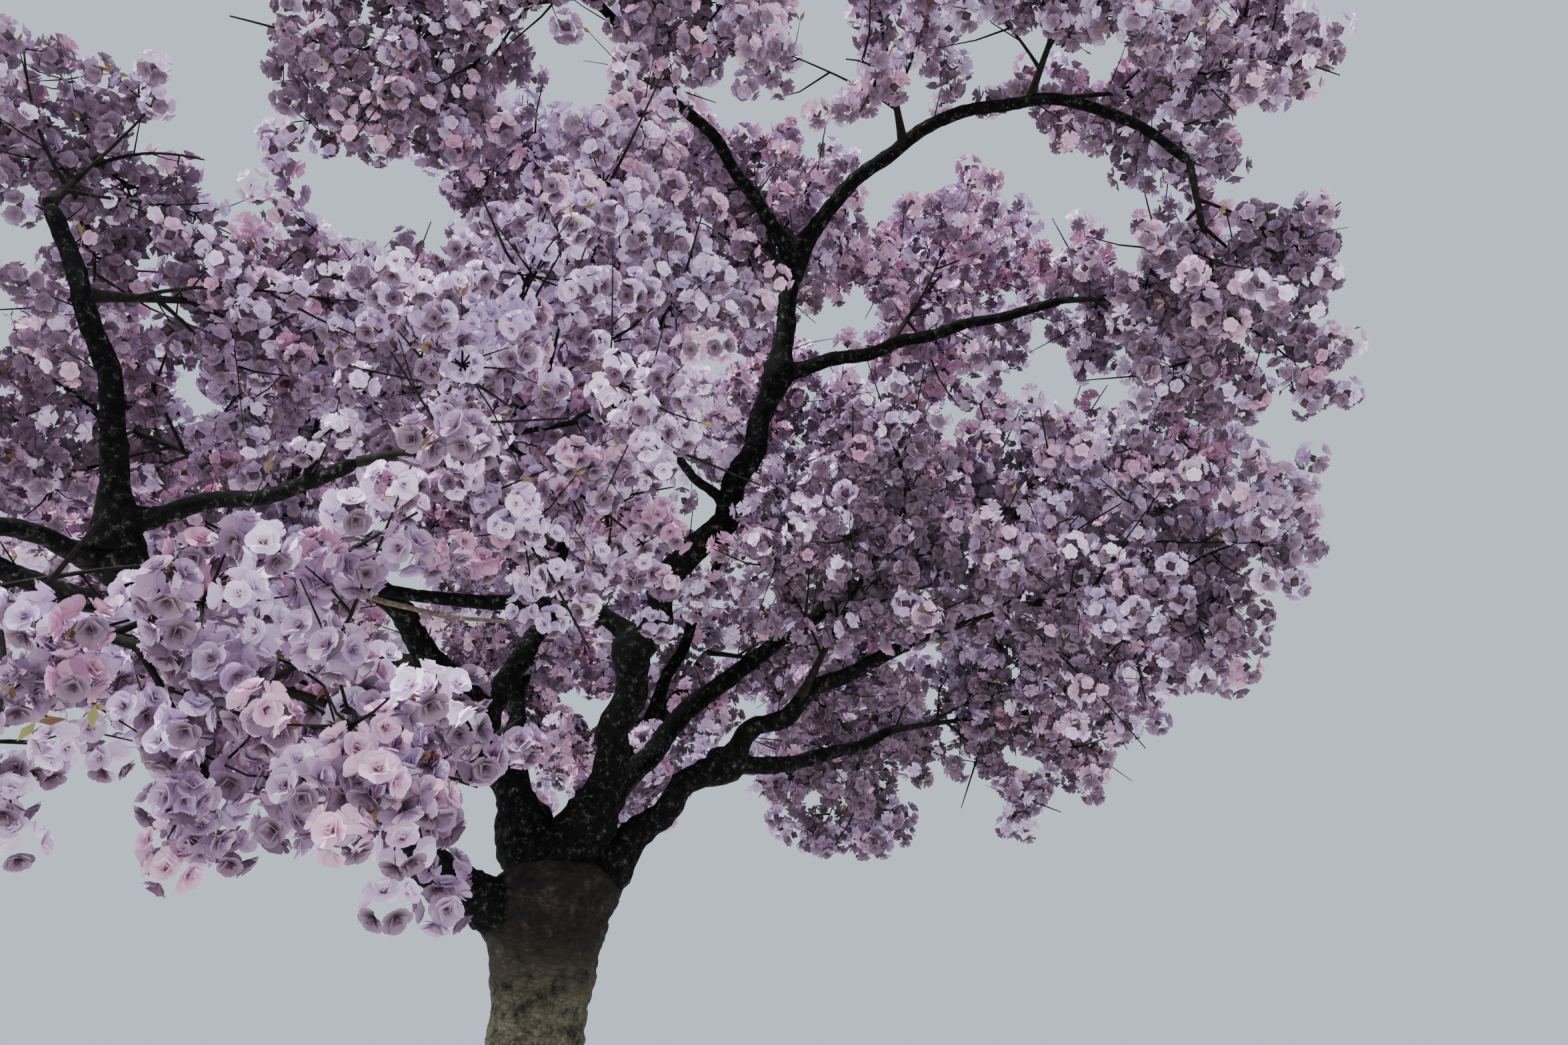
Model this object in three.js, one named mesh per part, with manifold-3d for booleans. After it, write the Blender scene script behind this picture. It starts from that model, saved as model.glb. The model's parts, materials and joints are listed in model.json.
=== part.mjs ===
import * as THREE from "three";
import { mergeVertices } from "three/addons/utils/BufferGeometryUtils.js";
import Module from "manifold-3d";

// A grafted flowering cherry in full bloom, in millimetres, with Z up and the ground at Z = 0.
// The trunk ends in a knobbly head where the boughs leave it. Limbs fork from boughs, and each
// mass of blossom is a system of twigs that grows from one limb by a seeded rule.

// Trunk
const TRUNK_HEIGHT = 2330;
const TRUNK_LEAN = 90;
const TRUNK_WIDTH_LOW = 455;
const TRUNK_WIDTH_WAIST = 475;
const HEAD_WIDTH = 560;
const HEAD_START = 0.80;
const HEAD_FULL = 0.93;
const HEAD_TOP_ROUNDING = 0.62;
const FLARE_WIDTH = 620;
const FLARE_HEIGHT = 420;
const FLARE_LOBES = 5;
const FLARE_LOBE_DEPTH = 0.12;
const TRUNK_SIDES = 16;
const TRUNK_STEPS = 16;

// Limbs
const LIMB_SIDES = 6;
const LIMB_STEPS = 7;
const COLLAR = 0.30;
const COLLAR_LENGTH = 130;
const LIMB_END_ROUNDING = 0.82;

// Twigs and blossom
const SEAT_GAP = 0.3;
const SPACING = 3;
const JOIN_TOLERANCE = 0.5;
const CUT_TOLERANCE = 0.05;
const STEM_STEPS = 3;
const STEM_WIDTH = 34;
const STEM_TIP_WIDTH = 16;
const STEM_SIDES = 4;
const TWIG_SIDES = 3;
const TWIG_WIDTH = 22;
const TWIG_TIP_WIDTH = 13;
const TWIGS_PER_MASS = 15;
const FIRST_SEED = 101;
const SEED_STEP = 37;
const STEM_SHARE = 0.8;
const FIRST_TWIG_AT = 0.22;
const LAST_TWIG_AT = 0.94;
const GOLDEN_TURN = 137.5;
const TURN_SCATTER = 40;
const TWIG_LEAN = 55;
const TIP_TWIG_LEAN = 40;
const TWIG_LENGTH_MIN = 0.72;
const TIP_TWIG_SHORTENING = 0.35;
const SIDE_TWIG_AT = 0.45;
const SIDE_TWIG_TURN = 48;
const SIDE_TWIG_LENGTH = 0.62;
const SPRAY_WIDTH_MIN = 400;
const SPRAY_WIDTH_MAX = 560;
const FULL_SPRAY_SPREAD = 660;
const SIDE_SPRAY_SHARE = 0.85;
const SPRAY_FLATTENING = 0.8;
const SPRAY_TILT = 70;
const SPRAY_SHARE = 0.75;

// Each limb leaves its parent at a share of the parent's length. Its azimuths and rises, in
// degrees, are spread evenly along it, and its width runs from the first to the second value.
const LIMBS = [
  {
    name: "low_left_bough", from: "trunk", at: 0.87, length: 2850,
    azimuths: [-140, -128, -108, -96], rises: [14, 26, 24, 22], widths: [215, 120],
  },
  {
    name: "low_left_upright", from: "low_left_bough", at: 0.98, length: 1300,
    azimuths: [-95, -130, -150], rises: [78, 66, 60], widths: [105, 60],
  },
  {
    name: "low_left_outer", from: "low_left_bough", at: 0.86, length: 1500,
    azimuths: [178, 190, 175], rises: [10, 22, 40], widths: [95, 55],
  },
  {
    name: "low_left_inner", from: "low_left_upright", at: 0.08, length: 950,
    azimuths: [-8, -22], rises: [2, 12], widths: [72, 46],
  },
  {
    name: "low_left_near", from: "low_left_bough", at: 0.93, length: 1550,
    azimuths: [-118, -82, -58], rises: [6, -18, -38], widths: [75, 40],
  },
  {
    name: "left_bough", from: "trunk", at: 0.94, length: 2750,
    azimuths: [172, 168, 218, 230, 226], rises: [52, 66, 45, 22, 32], widths: [225, 75],
  },
  {
    name: "left_bough_upright", from: "left_bough", at: 0.36, length: 1800,
    azimuths: [60, 75, 110], rises: [48, 58, 68], widths: [145, 70],
  },
  {
    name: "left_side_limb", from: "left_bough", at: 0.44, length: 1500,
    azimuths: [140, 160], rises: [24, 30], widths: [110, 60],
  },
  {
    name: "leader", from: "trunk", at: 0.95, length: 3750,
    azimuths: [10, -5, -20, -26, -36, -42, -70], rises: [60, 78, 76, 46, 66, 77, 78], widths: [205, 95],
  },
  {
    name: "arched_limb", from: "leader", at: 0.33, length: 1600,
    azimuths: [170, 196, 206, 207, 208], rises: [62, 8, -6, -2, 0], widths: [105, 55],
  },
  {
    name: "leader_left", from: "leader", at: 0.97, length: 1850,
    azimuths: [-128, -124, -112], rises: [32, 12, -12], widths: [80, 42],
  },
  {
    name: "leader_right", from: "leader", at: 0.96, length: 2600,
    azimuths: [-44, -38, -32, -30], rises: [46, 10, -30, -64], widths: [92, 42],
  },
  {
    name: "leader_front", from: "leader", at: 0.58, length: 1150,
    azimuths: [-120, -98], rises: [4, -10], widths: [54, 34],
  },
  {
    name: "side_limb", from: "leader", at: 0.78, length: 1600,
    azimuths: [-8, -12], rises: [12, 10], widths: [84, 48],
  },
  {
    name: "right_bough", from: "trunk", at: 0.92, length: 2300,
    azimuths: [10, 22, 0, -22, -22], rises: [26, 50, 40, 25, 18], widths: [180, 65],
  },
  {
    name: "right_bough_low", from: "right_bough", at: 0.46, length: 1350,
    azimuths: [34, 44], rises: [4, 28], widths: [105, 58],
  },
  {
    name: "right_bough_upright", from: "trunk", at: 0.97, length: 2750,
    azimuths: [66, 42, 16, 6], rises: [50, 48, 40, 32], widths: [165, 65],
  },
  {
    name: "back_left_bough", from: "trunk", at: 0.9, length: 2800,
    azimuths: [126, 108, 84], rises: [36, 48, 50], widths: [190, 65],
  },
  {
    name: "back_left_outer", from: "back_left_bough", at: 0.42, length: 1700,
    azimuths: [168, 160], rises: [26, 40], widths: [115, 58],
  },
  {
    name: "back_right_bough", from: "trunk", at: 0.93, length: 2800,
    azimuths: [92, 68, 66], rises: [34, 42, 46], widths: [180, 62],
  },
  {
    name: "back_right_upright", from: "back_right_bough", at: 0.46, length: 1700,
    azimuths: [50, 10], rises: [62, 72], widths: [100, 52],
  },
  {
    name: "dead_branch", from: "arched_limb", at: 0.96, length: 1150,
    azimuths: [-62, -8, -5], rises: [-32, -14, -2], widths: [34, 14],
  },
];

// Each mass grows from a limb at a share of its length, along an azimuth and rise in degrees,
// bends by its droop, and fills a space as long as its reach and twice as wide as its spread.
const MASSES = [
  {
    name: "left_top", limb: "low_left_upright", at: 1,
    azimuth: 114, rise: 50, droop: 0, reach: 1150, spread: 640,
  },
  {
    name: "left_crown", limb: "low_left_upright", at: 0.72,
    azimuth: 72, rise: 30, droop: 0, reach: 1300, spread: 740,
  },
  {
    name: "left_outer", limb: "low_left_outer", at: 1,
    azimuth: 160, rise: 24, droop: -20, reach: 1050, spread: 740,
  },
  {
    name: "left_front", limb: "low_left_outer", at: 0.7,
    azimuth: -110, rise: 6, droop: -20, reach: 1200, spread: 680,
  },
  {
    name: "front_left", limb: "low_left_inner", at: 1,
    azimuth: -10, rise: 6, droop: 0, reach: 1050, spread: 720,
  },
  {
    name: "near_right", limb: "low_left_near", at: 1,
    azimuth: -15, rise: -18, droop: 0, reach: 2070, spread: 420,
  },
  {
    name: "near_left", limb: "low_left_near", at: 0.6,
    azimuth: -150, rise: -6, droop: -20, reach: 1100, spread: 480,
  },
  {
    name: "left_shoulder", limb: "left_bough", at: 1,
    azimuth: 190, rise: 20, droop: 0, reach: 1200, spread: 720,
  },
  {
    name: "left_dome", limb: "left_bough", at: 0.86,
    azimuth: -60, rise: 72, droop: 0, reach: 1500, spread: 760,
  },
  {
    name: "dome_left", limb: "left_bough_upright", at: 1,
    azimuth: -126, rise: 64, droop: 0, reach: 1800, spread: 840,
  },
  {
    name: "dome_back_left", limb: "left_bough_upright", at: 0.8,
    azimuth: 150, rise: 40, droop: 0, reach: 1400, spread: 760,
  },
  {
    name: "left_side", limb: "left_side_limb", at: 1,
    azimuth: 196, rise: 6, droop: -20, reach: 1600, spread: 800,
  },
  {
    name: "left_side_top", limb: "left_side_limb", at: 0.86,
    azimuth: 180, rise: 62, droop: 0, reach: 1300, spread: 760,
  },
  {
    name: "arch_spray", limb: "arched_limb", at: 1,
    azimuth: -100, rise: -10, droop: 0, reach: 900, spread: 500,
  },
  {
    name: "top_left", limb: "leader_left", at: 1,
    azimuth: -172, rise: -16, droop: -24, reach: 1500, spread: 680,
  },
  {
    name: "top_front", limb: "leader_left", at: 0.62,
    azimuth: -94, rise: -14, droop: 0, reach: 1050, spread: 740,
  },
  {
    name: "right_tip", limb: "leader_right", at: 1,
    azimuth: 64, rise: -54, droop: 0, reach: 950, spread: 640,
  },
  {
    name: "right_top", limb: "leader_right", at: 0.62,
    azimuth: -76, rise: 26, droop: 0, reach: 950, spread: 700,
  },
  {
    name: "crown_front", limb: "leader_right", at: 0.34,
    azimuth: -105, rise: 24, droop: 0, reach: 1100, spread: 660,
  },
  {
    name: "crown_right", limb: "leader_right", at: 0.52,
    azimuth: 4, rise: 16, droop: -14, reach: 1700, spread: 740,
  },
  {
    name: "crown_top", limb: "leader", at: 0.93,
    azimuth: 112, rise: 54, droop: 0, reach: 1620, spread: 740,
  },
  {
    name: "crown_left", limb: "leader", at: 0.88,
    azimuth: -179, rise: 26, droop: 0, reach: 2410, spread: 720,
  },
  {
    name: "front_centre", limb: "leader_front", at: 1,
    azimuth: -98, rise: 20, droop: 0, reach: 1050, spread: 640,
  },
  {
    name: "right_upper", limb: "side_limb", at: 1,
    azimuth: 30, rise: 20, droop: 0, reach: 950, spread: 840,
  },
  {
    name: "right_dome", limb: "side_limb", at: 0.4,
    azimuth: 66, rise: 46, droop: 0, reach: 2100, spread: 840,
  },
  {
    name: "right_low", limb: "right_bough", at: 1,
    azimuth: -26, rise: 14, droop: -16, reach: 1900, spread: 800,
  },
  {
    name: "right_back_low", limb: "right_bough_low", at: 1,
    azimuth: 20, rise: 14, droop: -10, reach: 1500, spread: 740,
  },
  {
    name: "back_low", limb: "right_bough_low", at: 0.8,
    azimuth: 92, rise: 8, droop: -10, reach: 1400, spread: 720,
  },
  {
    name: "right_side", limb: "right_bough_upright", at: 1,
    azimuth: -28, rise: 20, droop: -20, reach: 2300, spread: 860,
  },
  {
    name: "right_back", limb: "right_bough_upright", at: 0.85,
    azimuth: 49, rise: 62, droop: 0, reach: 2160, spread: 840,
  },
  {
    name: "back_left", limb: "back_left_bough", at: 1,
    azimuth: 120, rise: 2, droop: -20, reach: 1500, spread: 820,
  },
  {
    name: "back_top", limb: "back_left_bough", at: 0.9,
    azimuth: 60, rise: 66, droop: 0, reach: 1300, spread: 800,
  },
  {
    name: "left_back", limb: "back_left_outer", at: 1,
    azimuth: 166, rise: 18, droop: -16, reach: 1500, spread: 800,
  },
  {
    name: "back_right", limb: "back_right_bough", at: 1,
    azimuth: 40, rise: 6, droop: -10, reach: 1500, spread: 800,
  },
  {
    name: "right_middle", limb: "right_bough", at: 0.7,
    azimuth: -48, rise: 52, droop: -10, reach: 1600, spread: 720,
  },
  {
    name: "dome_back", limb: "back_right_upright", at: 1,
    azimuth: 48, rise: 66, droop: 0, reach: 1800, spread: 860,
  },
  {
    name: "back_far", limb: "back_right_bough", at: 0.8,
    azimuth: 118, rise: 0, droop: -20, reach: 1500, spread: 760,
  },
];

const DEGREE = Math.PI / 180;
const wasm = await Module();
wasm.setup();
const { Manifold, Mesh } = wasm;

// A repeatable stream of numbers from 0 to 1
function seededDraw(seed) {
  let state = seed >>> 0;
  return () => {
    state = (Math.imul(state, 1664525) + 1013904223) >>> 0;
    return state / 4294967296;
  };
}

// A unit vector from an azimuth and a rise above level
function heading(azimuth, rise) {
  const level = Math.cos(rise * DEGREE);
  return new THREE.Vector3(
    level * Math.cos(azimuth * DEGREE),
    level * Math.sin(azimuth * DEGREE),
    Math.sin(rise * DEGREE),
  );
}

// The value at a share of the way along evenly spaced values
function valueAlong(values, share) {
  if (values.length === 1) {
    return values[0];
  }
  const place = Math.min(Math.max(share, 0), 1) * (values.length - 1);
  const index = Math.min(Math.floor(place), values.length - 2);
  return THREE.MathUtils.lerp(values[index], values[index + 1], place - index);
}

// The points of a path that turns steadily through its azimuths and rises
function growPath(start, azimuths, rises, length, steps) {
  const points = [start.clone()];
  for (let step = 0; step < steps; step += 1) {
    const share = (step + 0.5) / steps;
    const direction = heading(valueAlong(azimuths, share), valueAlong(rises, share));
    points.push(points[step].clone().addScaledVector(direction, length / steps));
  }
  return points;
}

// The point at a share of the way along a path
function pointAlong(points, share) {
  const place = share * (points.length - 1);
  const index = Math.min(Math.floor(place), points.length - 2);
  return points[index].clone().lerp(points[index + 1], place - index);
}

// The direction of a path at a share of the way along it
function directionAlong(points, share) {
  const index = Math.min(Math.floor(share * (points.length - 1)), points.length - 2);
  return points[index + 1].clone().sub(points[index]).normalize();
}

// Two directions square to each direction of a path, turned as little as possible from ring to ring
function framesAlong(points) {
  const frames = [];
  let across = null;
  for (let index = 0; index < points.length; index += 1) {
    const before = points[Math.max(index - 1, 0)];
    const after = points[Math.min(index + 1, points.length - 1)];
    const tangent = after.clone().sub(before).normalize();
    if (across === null) {
      const steep = Math.abs(tangent.z) > 0.9;
      const helper = new THREE.Vector3(steep ? 1 : 0, 0, steep ? 0 : 1);
      across = new THREE.Vector3().crossVectors(tangent, helper);
    }
    across = across.clone().addScaledVector(tangent, -across.dot(tangent)).normalize();
    frames.push({ across, over: new THREE.Vector3().crossVectors(across, tangent) });
  }
  return frames;
}

// A closed cylinder bent along a path, with its radius given by share along it and angle round it
function sweptSolid(points, radiusAt, sides) {
  const steps = points.length - 1;
  const frames = framesAlong(points);
  const geometry = new THREE.CylinderGeometry(1, 1, 1, sides, steps);
  const position = geometry.attributes.position;
  for (let index = 0; index < position.count; index += 1) {
    const x = position.getX(index);
    const z = position.getZ(index);
    const ring = Math.round((position.getY(index) + 0.5) * steps);
    const radius = radiusAt(ring / steps, Math.atan2(z, x));
    const { across, over } = frames[ring];
    const place = points[ring].clone();
    place.addScaledVector(across, x * radius).addScaledVector(over, z * radius);
    position.setXYZ(index, place.x, place.y, place.z);
  }
  return toSolid(geometry);
}

// A three.js geometry as a solid for cutting and joining
function toSolid(geometry) {
  geometry.deleteAttribute("normal");
  geometry.deleteAttribute("uv");
  const merged = mergeVertices(geometry, 0.001);
  const vertProperties = new Float32Array(merged.attributes.position.array);
  const triVerts = new Uint32Array(merged.index.array);
  return new Manifold(new Mesh({ numProp: 3, vertProperties, triVerts }));
}

// The largest piece of a solid, without the scrap that a cut leaves
function largestPiece(solid) {
  const pieces = solid.decompose();
  pieces.sort((first, second) => second.volume() - first.volume());
  return pieces[0];
}

// A solid as a named mesh in its material
function toMesh(name, solid, material) {
  const result = solid.getMesh();
  const geometry = new THREE.BufferGeometry();
  const places = new Float32Array(result.vertProperties);
  geometry.setAttribute("position", new THREE.BufferAttribute(places, 3));
  geometry.setIndex(new THREE.BufferAttribute(new Uint32Array(result.triVerts), 1));
  geometry.computeVertexNormals();
  const mesh = new THREE.Mesh(geometry, material);
  mesh.name = name;
  return mesh;
}

function stockBark() {
  return new THREE.MeshStandardMaterial({ color: 0x5d5a4a, roughness: 0.95, metalness: 0 });
}

function limbBark() {
  return new THREE.MeshStandardMaterial({ color: 0x37312d, roughness: 0.95, metalness: 0 });
}

function deadWood() {
  return new THREE.MeshStandardMaterial({ color: 0x6f665a, roughness: 0.9, metalness: 0 });
}

function blossomPink() {
  return new THREE.MeshStandardMaterial({ color: 0xd9b9cb, roughness: 0.8, metalness: 0 });
}

// The trunk's radius: lobed flare at the foot, waist, then the swollen head with a rounded top
function trunkRadius(share, angle) {
  const height = share * TRUNK_HEIGHT;
  const low = THREE.MathUtils.lerp(TRUNK_WIDTH_LOW, TRUNK_WIDTH_WAIST, share) / 2;
  const fade = Math.exp(-3 * height / FLARE_HEIGHT);
  const flare = fade * (FLARE_WIDTH / 2 - low);
  const lobes = 1 + FLARE_LOBE_DEPTH * Math.cos(FLARE_LOBES * angle) * fade;
  const head = THREE.MathUtils.smoothstep(share, HEAD_START, HEAD_FULL) * (HEAD_WIDTH / 2 - low);
  const top = share > 0.97 ? HEAD_TOP_ROUNDING : 1;
  return (low + flare + head) * lobes * top;
}

// The trunk's centre line, level at its foot so that the cut there is flat
function trunkPath() {
  const points = [];
  for (let step = 0; step <= TRUNK_STEPS; step += 1) {
    const share = step / TRUNK_STEPS;
    points.push(new THREE.Vector3(TRUNK_LEAN * share * share, 0, TRUNK_HEIGHT * share));
  }
  return points;
}

// The trunk, trimmed flat at ground level
function buildTrunk(path) {
  const lowered = path.map((point) => point.clone());
  lowered[0].z = -FLARE_HEIGHT / 4;
  const blank = sweptSolid(lowered, trunkRadius, TRUNK_SIDES);
  const box = toSolid(new THREE.BoxGeometry(4 * FLARE_WIDTH, 4 * FLARE_WIDTH, FLARE_HEIGHT));
  return blank.subtract(box.translate(0, 0, -FLARE_HEIGHT / 2));
}

// A limb's radius, with a collar where it leaves its parent and a rounded end
function limbRadius(limb, share) {
  const collar = 1 + COLLAR * Math.exp(-share * limb.length / COLLAR_LENGTH);
  const end = share > 0.99 ? LIMB_END_ROUNDING : 1;
  return THREE.MathUtils.lerp(limb.widths[0], limb.widths[1], share) / 2 * collar * end;
}

// A limb's blank, grown by a margin all over for use as a cutter
function limbBlank(limb, path, margin) {
  const points = path.map((point) => point.clone());
  points[0].addScaledVector(directionAlong(path, 0), -margin);
  points[points.length - 1].addScaledVector(directionAlong(path, 1), margin);
  const grow = margin / Math.cos(Math.PI / LIMB_SIDES);
  return sweptSolid(points, (share) => limbRadius(limb, share) + grow, LIMB_SIDES);
}

// The trunk grown by a margin all over for use as a cutter
function trunkCutter(path, margin) {
  const points = path.map((point) => point.clone());
  points[points.length - 1].z += margin;
  const grow = margin / Math.cos(Math.PI / TRUNK_SIDES);
  return sweptSolid(points, (share, angle) => trunkRadius(share, angle) + grow, TRUNK_SIDES);
}

// True where the boxes of two solids meet
function boxesMeet(first, second) {
  const a = first.boundingBox();
  const b = second.boundingBox();
  return [0, 1, 2].every((axis) => a.min[axis] <= b.max[axis] && b.min[axis] <= a.max[axis]);
}

// A solid with every cutter that it meets taken from it
function cutClear(solid, cutters) {
  let result = solid;
  for (const cutter of cutters) {
    if (boxesMeet(result, cutter)) {
      result = largestPiece(result.subtract(cutter)).asOriginal().simplify(CUT_TOLERANCE);
    }
  }
  return result;
}

// The shortest distance between two straight stretches
function stretchDistance(a, b) {
  const along = a.end.clone().sub(a.start);
  const other = b.end.clone().sub(b.start);
  const between = a.start.clone().sub(b.start);
  const lengthA = along.lengthSq();
  const lengthB = other.lengthSq();
  const mixed = along.dot(other);
  const scale = lengthA * lengthB - mixed * mixed;
  let s = 0;
  if (scale > 1e-6 * lengthA * lengthB) {
    s = (mixed * other.dot(between) - lengthB * along.dot(between)) / scale;
  }
  s = THREE.MathUtils.clamp(s, 0, 1);
  let t = lengthB > 0 ? (mixed * s + other.dot(between)) / lengthB : 0;
  t = THREE.MathUtils.clamp(t, 0, 1);
  s = lengthA > 0 ? THREE.MathUtils.clamp((mixed * t - along.dot(between)) / lengthA, 0, 1) : 0;
  const gap = between.clone().addScaledVector(along, s).addScaledVector(other, -t);
  return gap.length();
}

// The stretches that a path's limb takes up
function stretchesOf(owner, points, radiusAt) {
  const stretches = [];
  const steps = points.length - 1;
  for (let step = 0; step < steps; step += 1) {
    const radius = Math.max(radiusAt(step / steps, 0), radiusAt((step + 1) / steps, 0));
    stretches.push({ owner, start: points[step], end: points[step + 1], radius });
  }
  return stretches;
}

// True where a stretch keeps its distance from all that other owners take up
function isClear(stretch, taken, allowed) {
  return taken.every((other) => allowed.includes(other.owner)
    || stretchDistance(stretch, other) > stretch.radius + other.radius + SPACING);
}

// A three-sided twig between two points
function twigSolid(start, end, width, tipWidth) {
  const radiusAt = (share) => THREE.MathUtils.lerp(width, tipWidth, share) / 2;
  return sweptSolid([start, end], radiusAt, TWIG_SIDES);
}

// A spray of blossom: a slightly flat solid of eight faces, turned by its own draw
function spraySolid(centre, width, draw) {
  const geometry = new THREE.OctahedronGeometry(width / 2, 0);
  geometry.scale(1, 1, SPRAY_FLATTENING);
  geometry.rotateX((draw() - 0.5) * SPRAY_TILT * DEGREE);
  geometry.rotateY((draw() - 0.5) * SPRAY_TILT * DEGREE);
  geometry.rotateZ(draw() * 360 * DEGREE);
  geometry.translate(centre.x, centre.y, centre.z);
  return toSolid(geometry);
}

// The twig directions at one station: leaning out from the stem, turned round it
function twigDirection(stemDirection, frame, turn, lean) {
  const radial = frame.across.clone().multiplyScalar(Math.cos(turn * DEGREE));
  radial.addScaledVector(frame.over, Math.sin(turn * DEGREE));
  const direction = stemDirection.clone().multiplyScalar(Math.cos(lean * DEGREE));
  return direction.addScaledVector(radial, Math.sin(lean * DEGREE)).normalize();
}

// The share of its full width that a spray has in a mass, which is less where the mass is narrow
function sprayShare(mass) {
  return Math.min(1, mass.spread / FULL_SPRAY_SPREAD);
}

// The twigs of one mass before any is skipped: round the stem by the golden turn, one side twig each
function planTwigs(mass, stem, draw) {
  const frames = framesAlong(stem);
  const widest = SPRAY_WIDTH_MAX * sprayShare(mass);
  const narrowest = SPRAY_WIDTH_MIN * sprayShare(mass);
  const twigs = [];
  for (let index = 0; index < TWIGS_PER_MASS; index += 1) {
    const share = index / (TWIGS_PER_MASS - 1);
    const station = THREE.MathUtils.lerp(FIRST_TWIG_AT, LAST_TWIG_AT, share);
    const frame = frames[Math.floor(station * STEM_STEPS)];
    const turn = index * GOLDEN_TURN + TURN_SCATTER * (draw() - 0.5);
    const lean = THREE.MathUtils.lerp(TWIG_LEAN, TIP_TWIG_LEAN, station);
    const direction = twigDirection(directionAlong(stem, station), frame, turn, lean);
    const growth = THREE.MathUtils.lerp(TWIG_LENGTH_MIN, 1, draw());
    const length = mass.spread * growth * (1.05 - TIP_TWIG_SHORTENING * station);
    const start = pointAlong(stem, station);
    const end = start.clone().addScaledVector(direction, length);
    const fork = start.clone().lerp(end, SIDE_TWIG_AT);
    const sideTurn = (draw() < 0.5 ? -1 : 1) * SIDE_TWIG_TURN;
    const sideDirection = direction.clone().applyAxisAngle(frame.across, sideTurn * DEGREE);
    const sideEnd = fork.clone().addScaledVector(sideDirection, length * SIDE_TWIG_LENGTH);
    const width = THREE.MathUtils.lerp(narrowest, widest, draw());
    const sideWidth = THREE.MathUtils.lerp(narrowest, widest, draw()) * SIDE_SPRAY_SHARE;
    twigs.push({ start, end, width, fork, sideEnd, sideWidth });
  }
  return twigs;
}

// One mass: its stem and the twigs and sprays that have room, joined, with its root cut to its seat
function buildMass(mass, limbPath, seed, taken, cutters) {
  const draw = seededDraw(seed);
  const root = pointAlong(limbPath, mass.at);
  const rises = [mass.rise, mass.rise + mass.droop];
  const stem = growPath(root, [mass.azimuth], rises, mass.reach * STEM_SHARE, STEM_STEPS);
  const stemRadius = (share) => THREE.MathUtils.lerp(STEM_WIDTH, STEM_TIP_WIDTH, share) / 2;
  const used = stretchesOf(mass.name, stem, stemRadius);
  if (!used.every((stretch) => isClear(stretch, taken, [mass.limb]))) {
    throw new Error(`the stem of ${mass.name} meets another limb or mass`);
  }
  const parts = [sweptSolid(stem, stemRadius, STEM_SIDES)];
  const middles = [];

  // A twig with a spray at its tip, or nothing where either would meet something else
  function addTwig(start, end, twigWidth, tipWidth, sprayWidth) {
    const twig = { owner: mass.name, start, end, radius: twigWidth / 2 };
    const spray = { owner: mass.name, start: end, end, radius: sprayWidth / 2 };
    const middle = { owner: mass.name, start: end, end, radius: spray.radius * SPRAY_SHARE };
    if (!isClear(twig, taken, []) || !isClear(spray, taken, []) || !isClear(middle, middles, [])) {
      return false;
    }
    middles.push(middle);
    used.push(twig, spray);
    parts.push(twigSolid(start, end, twigWidth, tipWidth), spraySolid(end, sprayWidth, draw));
    return true;
  }

  for (const twig of planTwigs(mass, stem, draw)) {
    if (addTwig(twig.start, twig.end, TWIG_WIDTH, TWIG_TIP_WIDTH, twig.width)) {
      addTwig(twig.fork, twig.sideEnd, TWIG_TIP_WIDTH, TWIG_TIP_WIDTH, twig.sideWidth);
    }
  }
  const tip = stem[STEM_STEPS];
  const beforeTip = tip.clone().lerp(stem[STEM_STEPS - 1], 0.1);
  const tipSpray = SPRAY_WIDTH_MAX * SIDE_SPRAY_SHARE * sprayShare(mass);
  addTwig(beforeTip, tip, STEM_TIP_WIDTH, STEM_TIP_WIDTH, tipSpray);
  taken.push(...used);
  const joined = largestPiece(Manifold.union(parts)).asOriginal().simplify(JOIN_TOLERANCE);
  return cutClear(joined, cutters);
}

// The whole tree, in the order trunk, limbs, masses
function buildTree() {
  const group = new THREE.Group();
  const paths = { trunk: trunkPath() };
  const trunk = buildTrunk(paths.trunk);
  group.add(toMesh("trunk", trunk, stockBark()));
  const cutters = [trunkCutter(paths.trunk, SEAT_GAP)];
  const taken = stretchesOf("trunk", paths.trunk, trunkRadius);
  for (const limb of LIMBS) {
    const start = pointAlong(paths[limb.from], limb.at);
    const path = growPath(start, limb.azimuths, limb.rises, limb.length, LIMB_STEPS);
    paths[limb.name] = path;
    const material = limb.name === "dead_branch" ? deadWood() : limbBark();
    group.add(toMesh(limb.name, cutClear(limbBlank(limb, path, 0), cutters), material));
    cutters.push(limbBlank(limb, path, SEAT_GAP));
    taken.push(...stretchesOf(limb.name, path, (share) => limbRadius(limb, share)));
  }
  MASSES.forEach((mass, index) => {
    const seed = FIRST_SEED + SEED_STEP * index;
    const solid = buildMass(mass, paths[mass.limb], seed, taken, cutters);
    group.add(toMesh(mass.name, solid, blossomPink()));
  });
  return group;
}

export default buildTree();
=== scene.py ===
"""Looks of a grafted flowering cherry in full bloom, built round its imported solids.

The trunk and limbs get bark with relief, and each mass of blossom is grown again by the same
seeded rule as its solid, carried on to fine twigs, flower balls and young leaves.
"""

import json
import logging
import math
from dataclasses import dataclass, field
from enum import Enum, IntEnum
from functools import partial

import bpy
import numpy as np
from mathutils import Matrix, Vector
from mathutils.kdtree import KDTree

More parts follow.
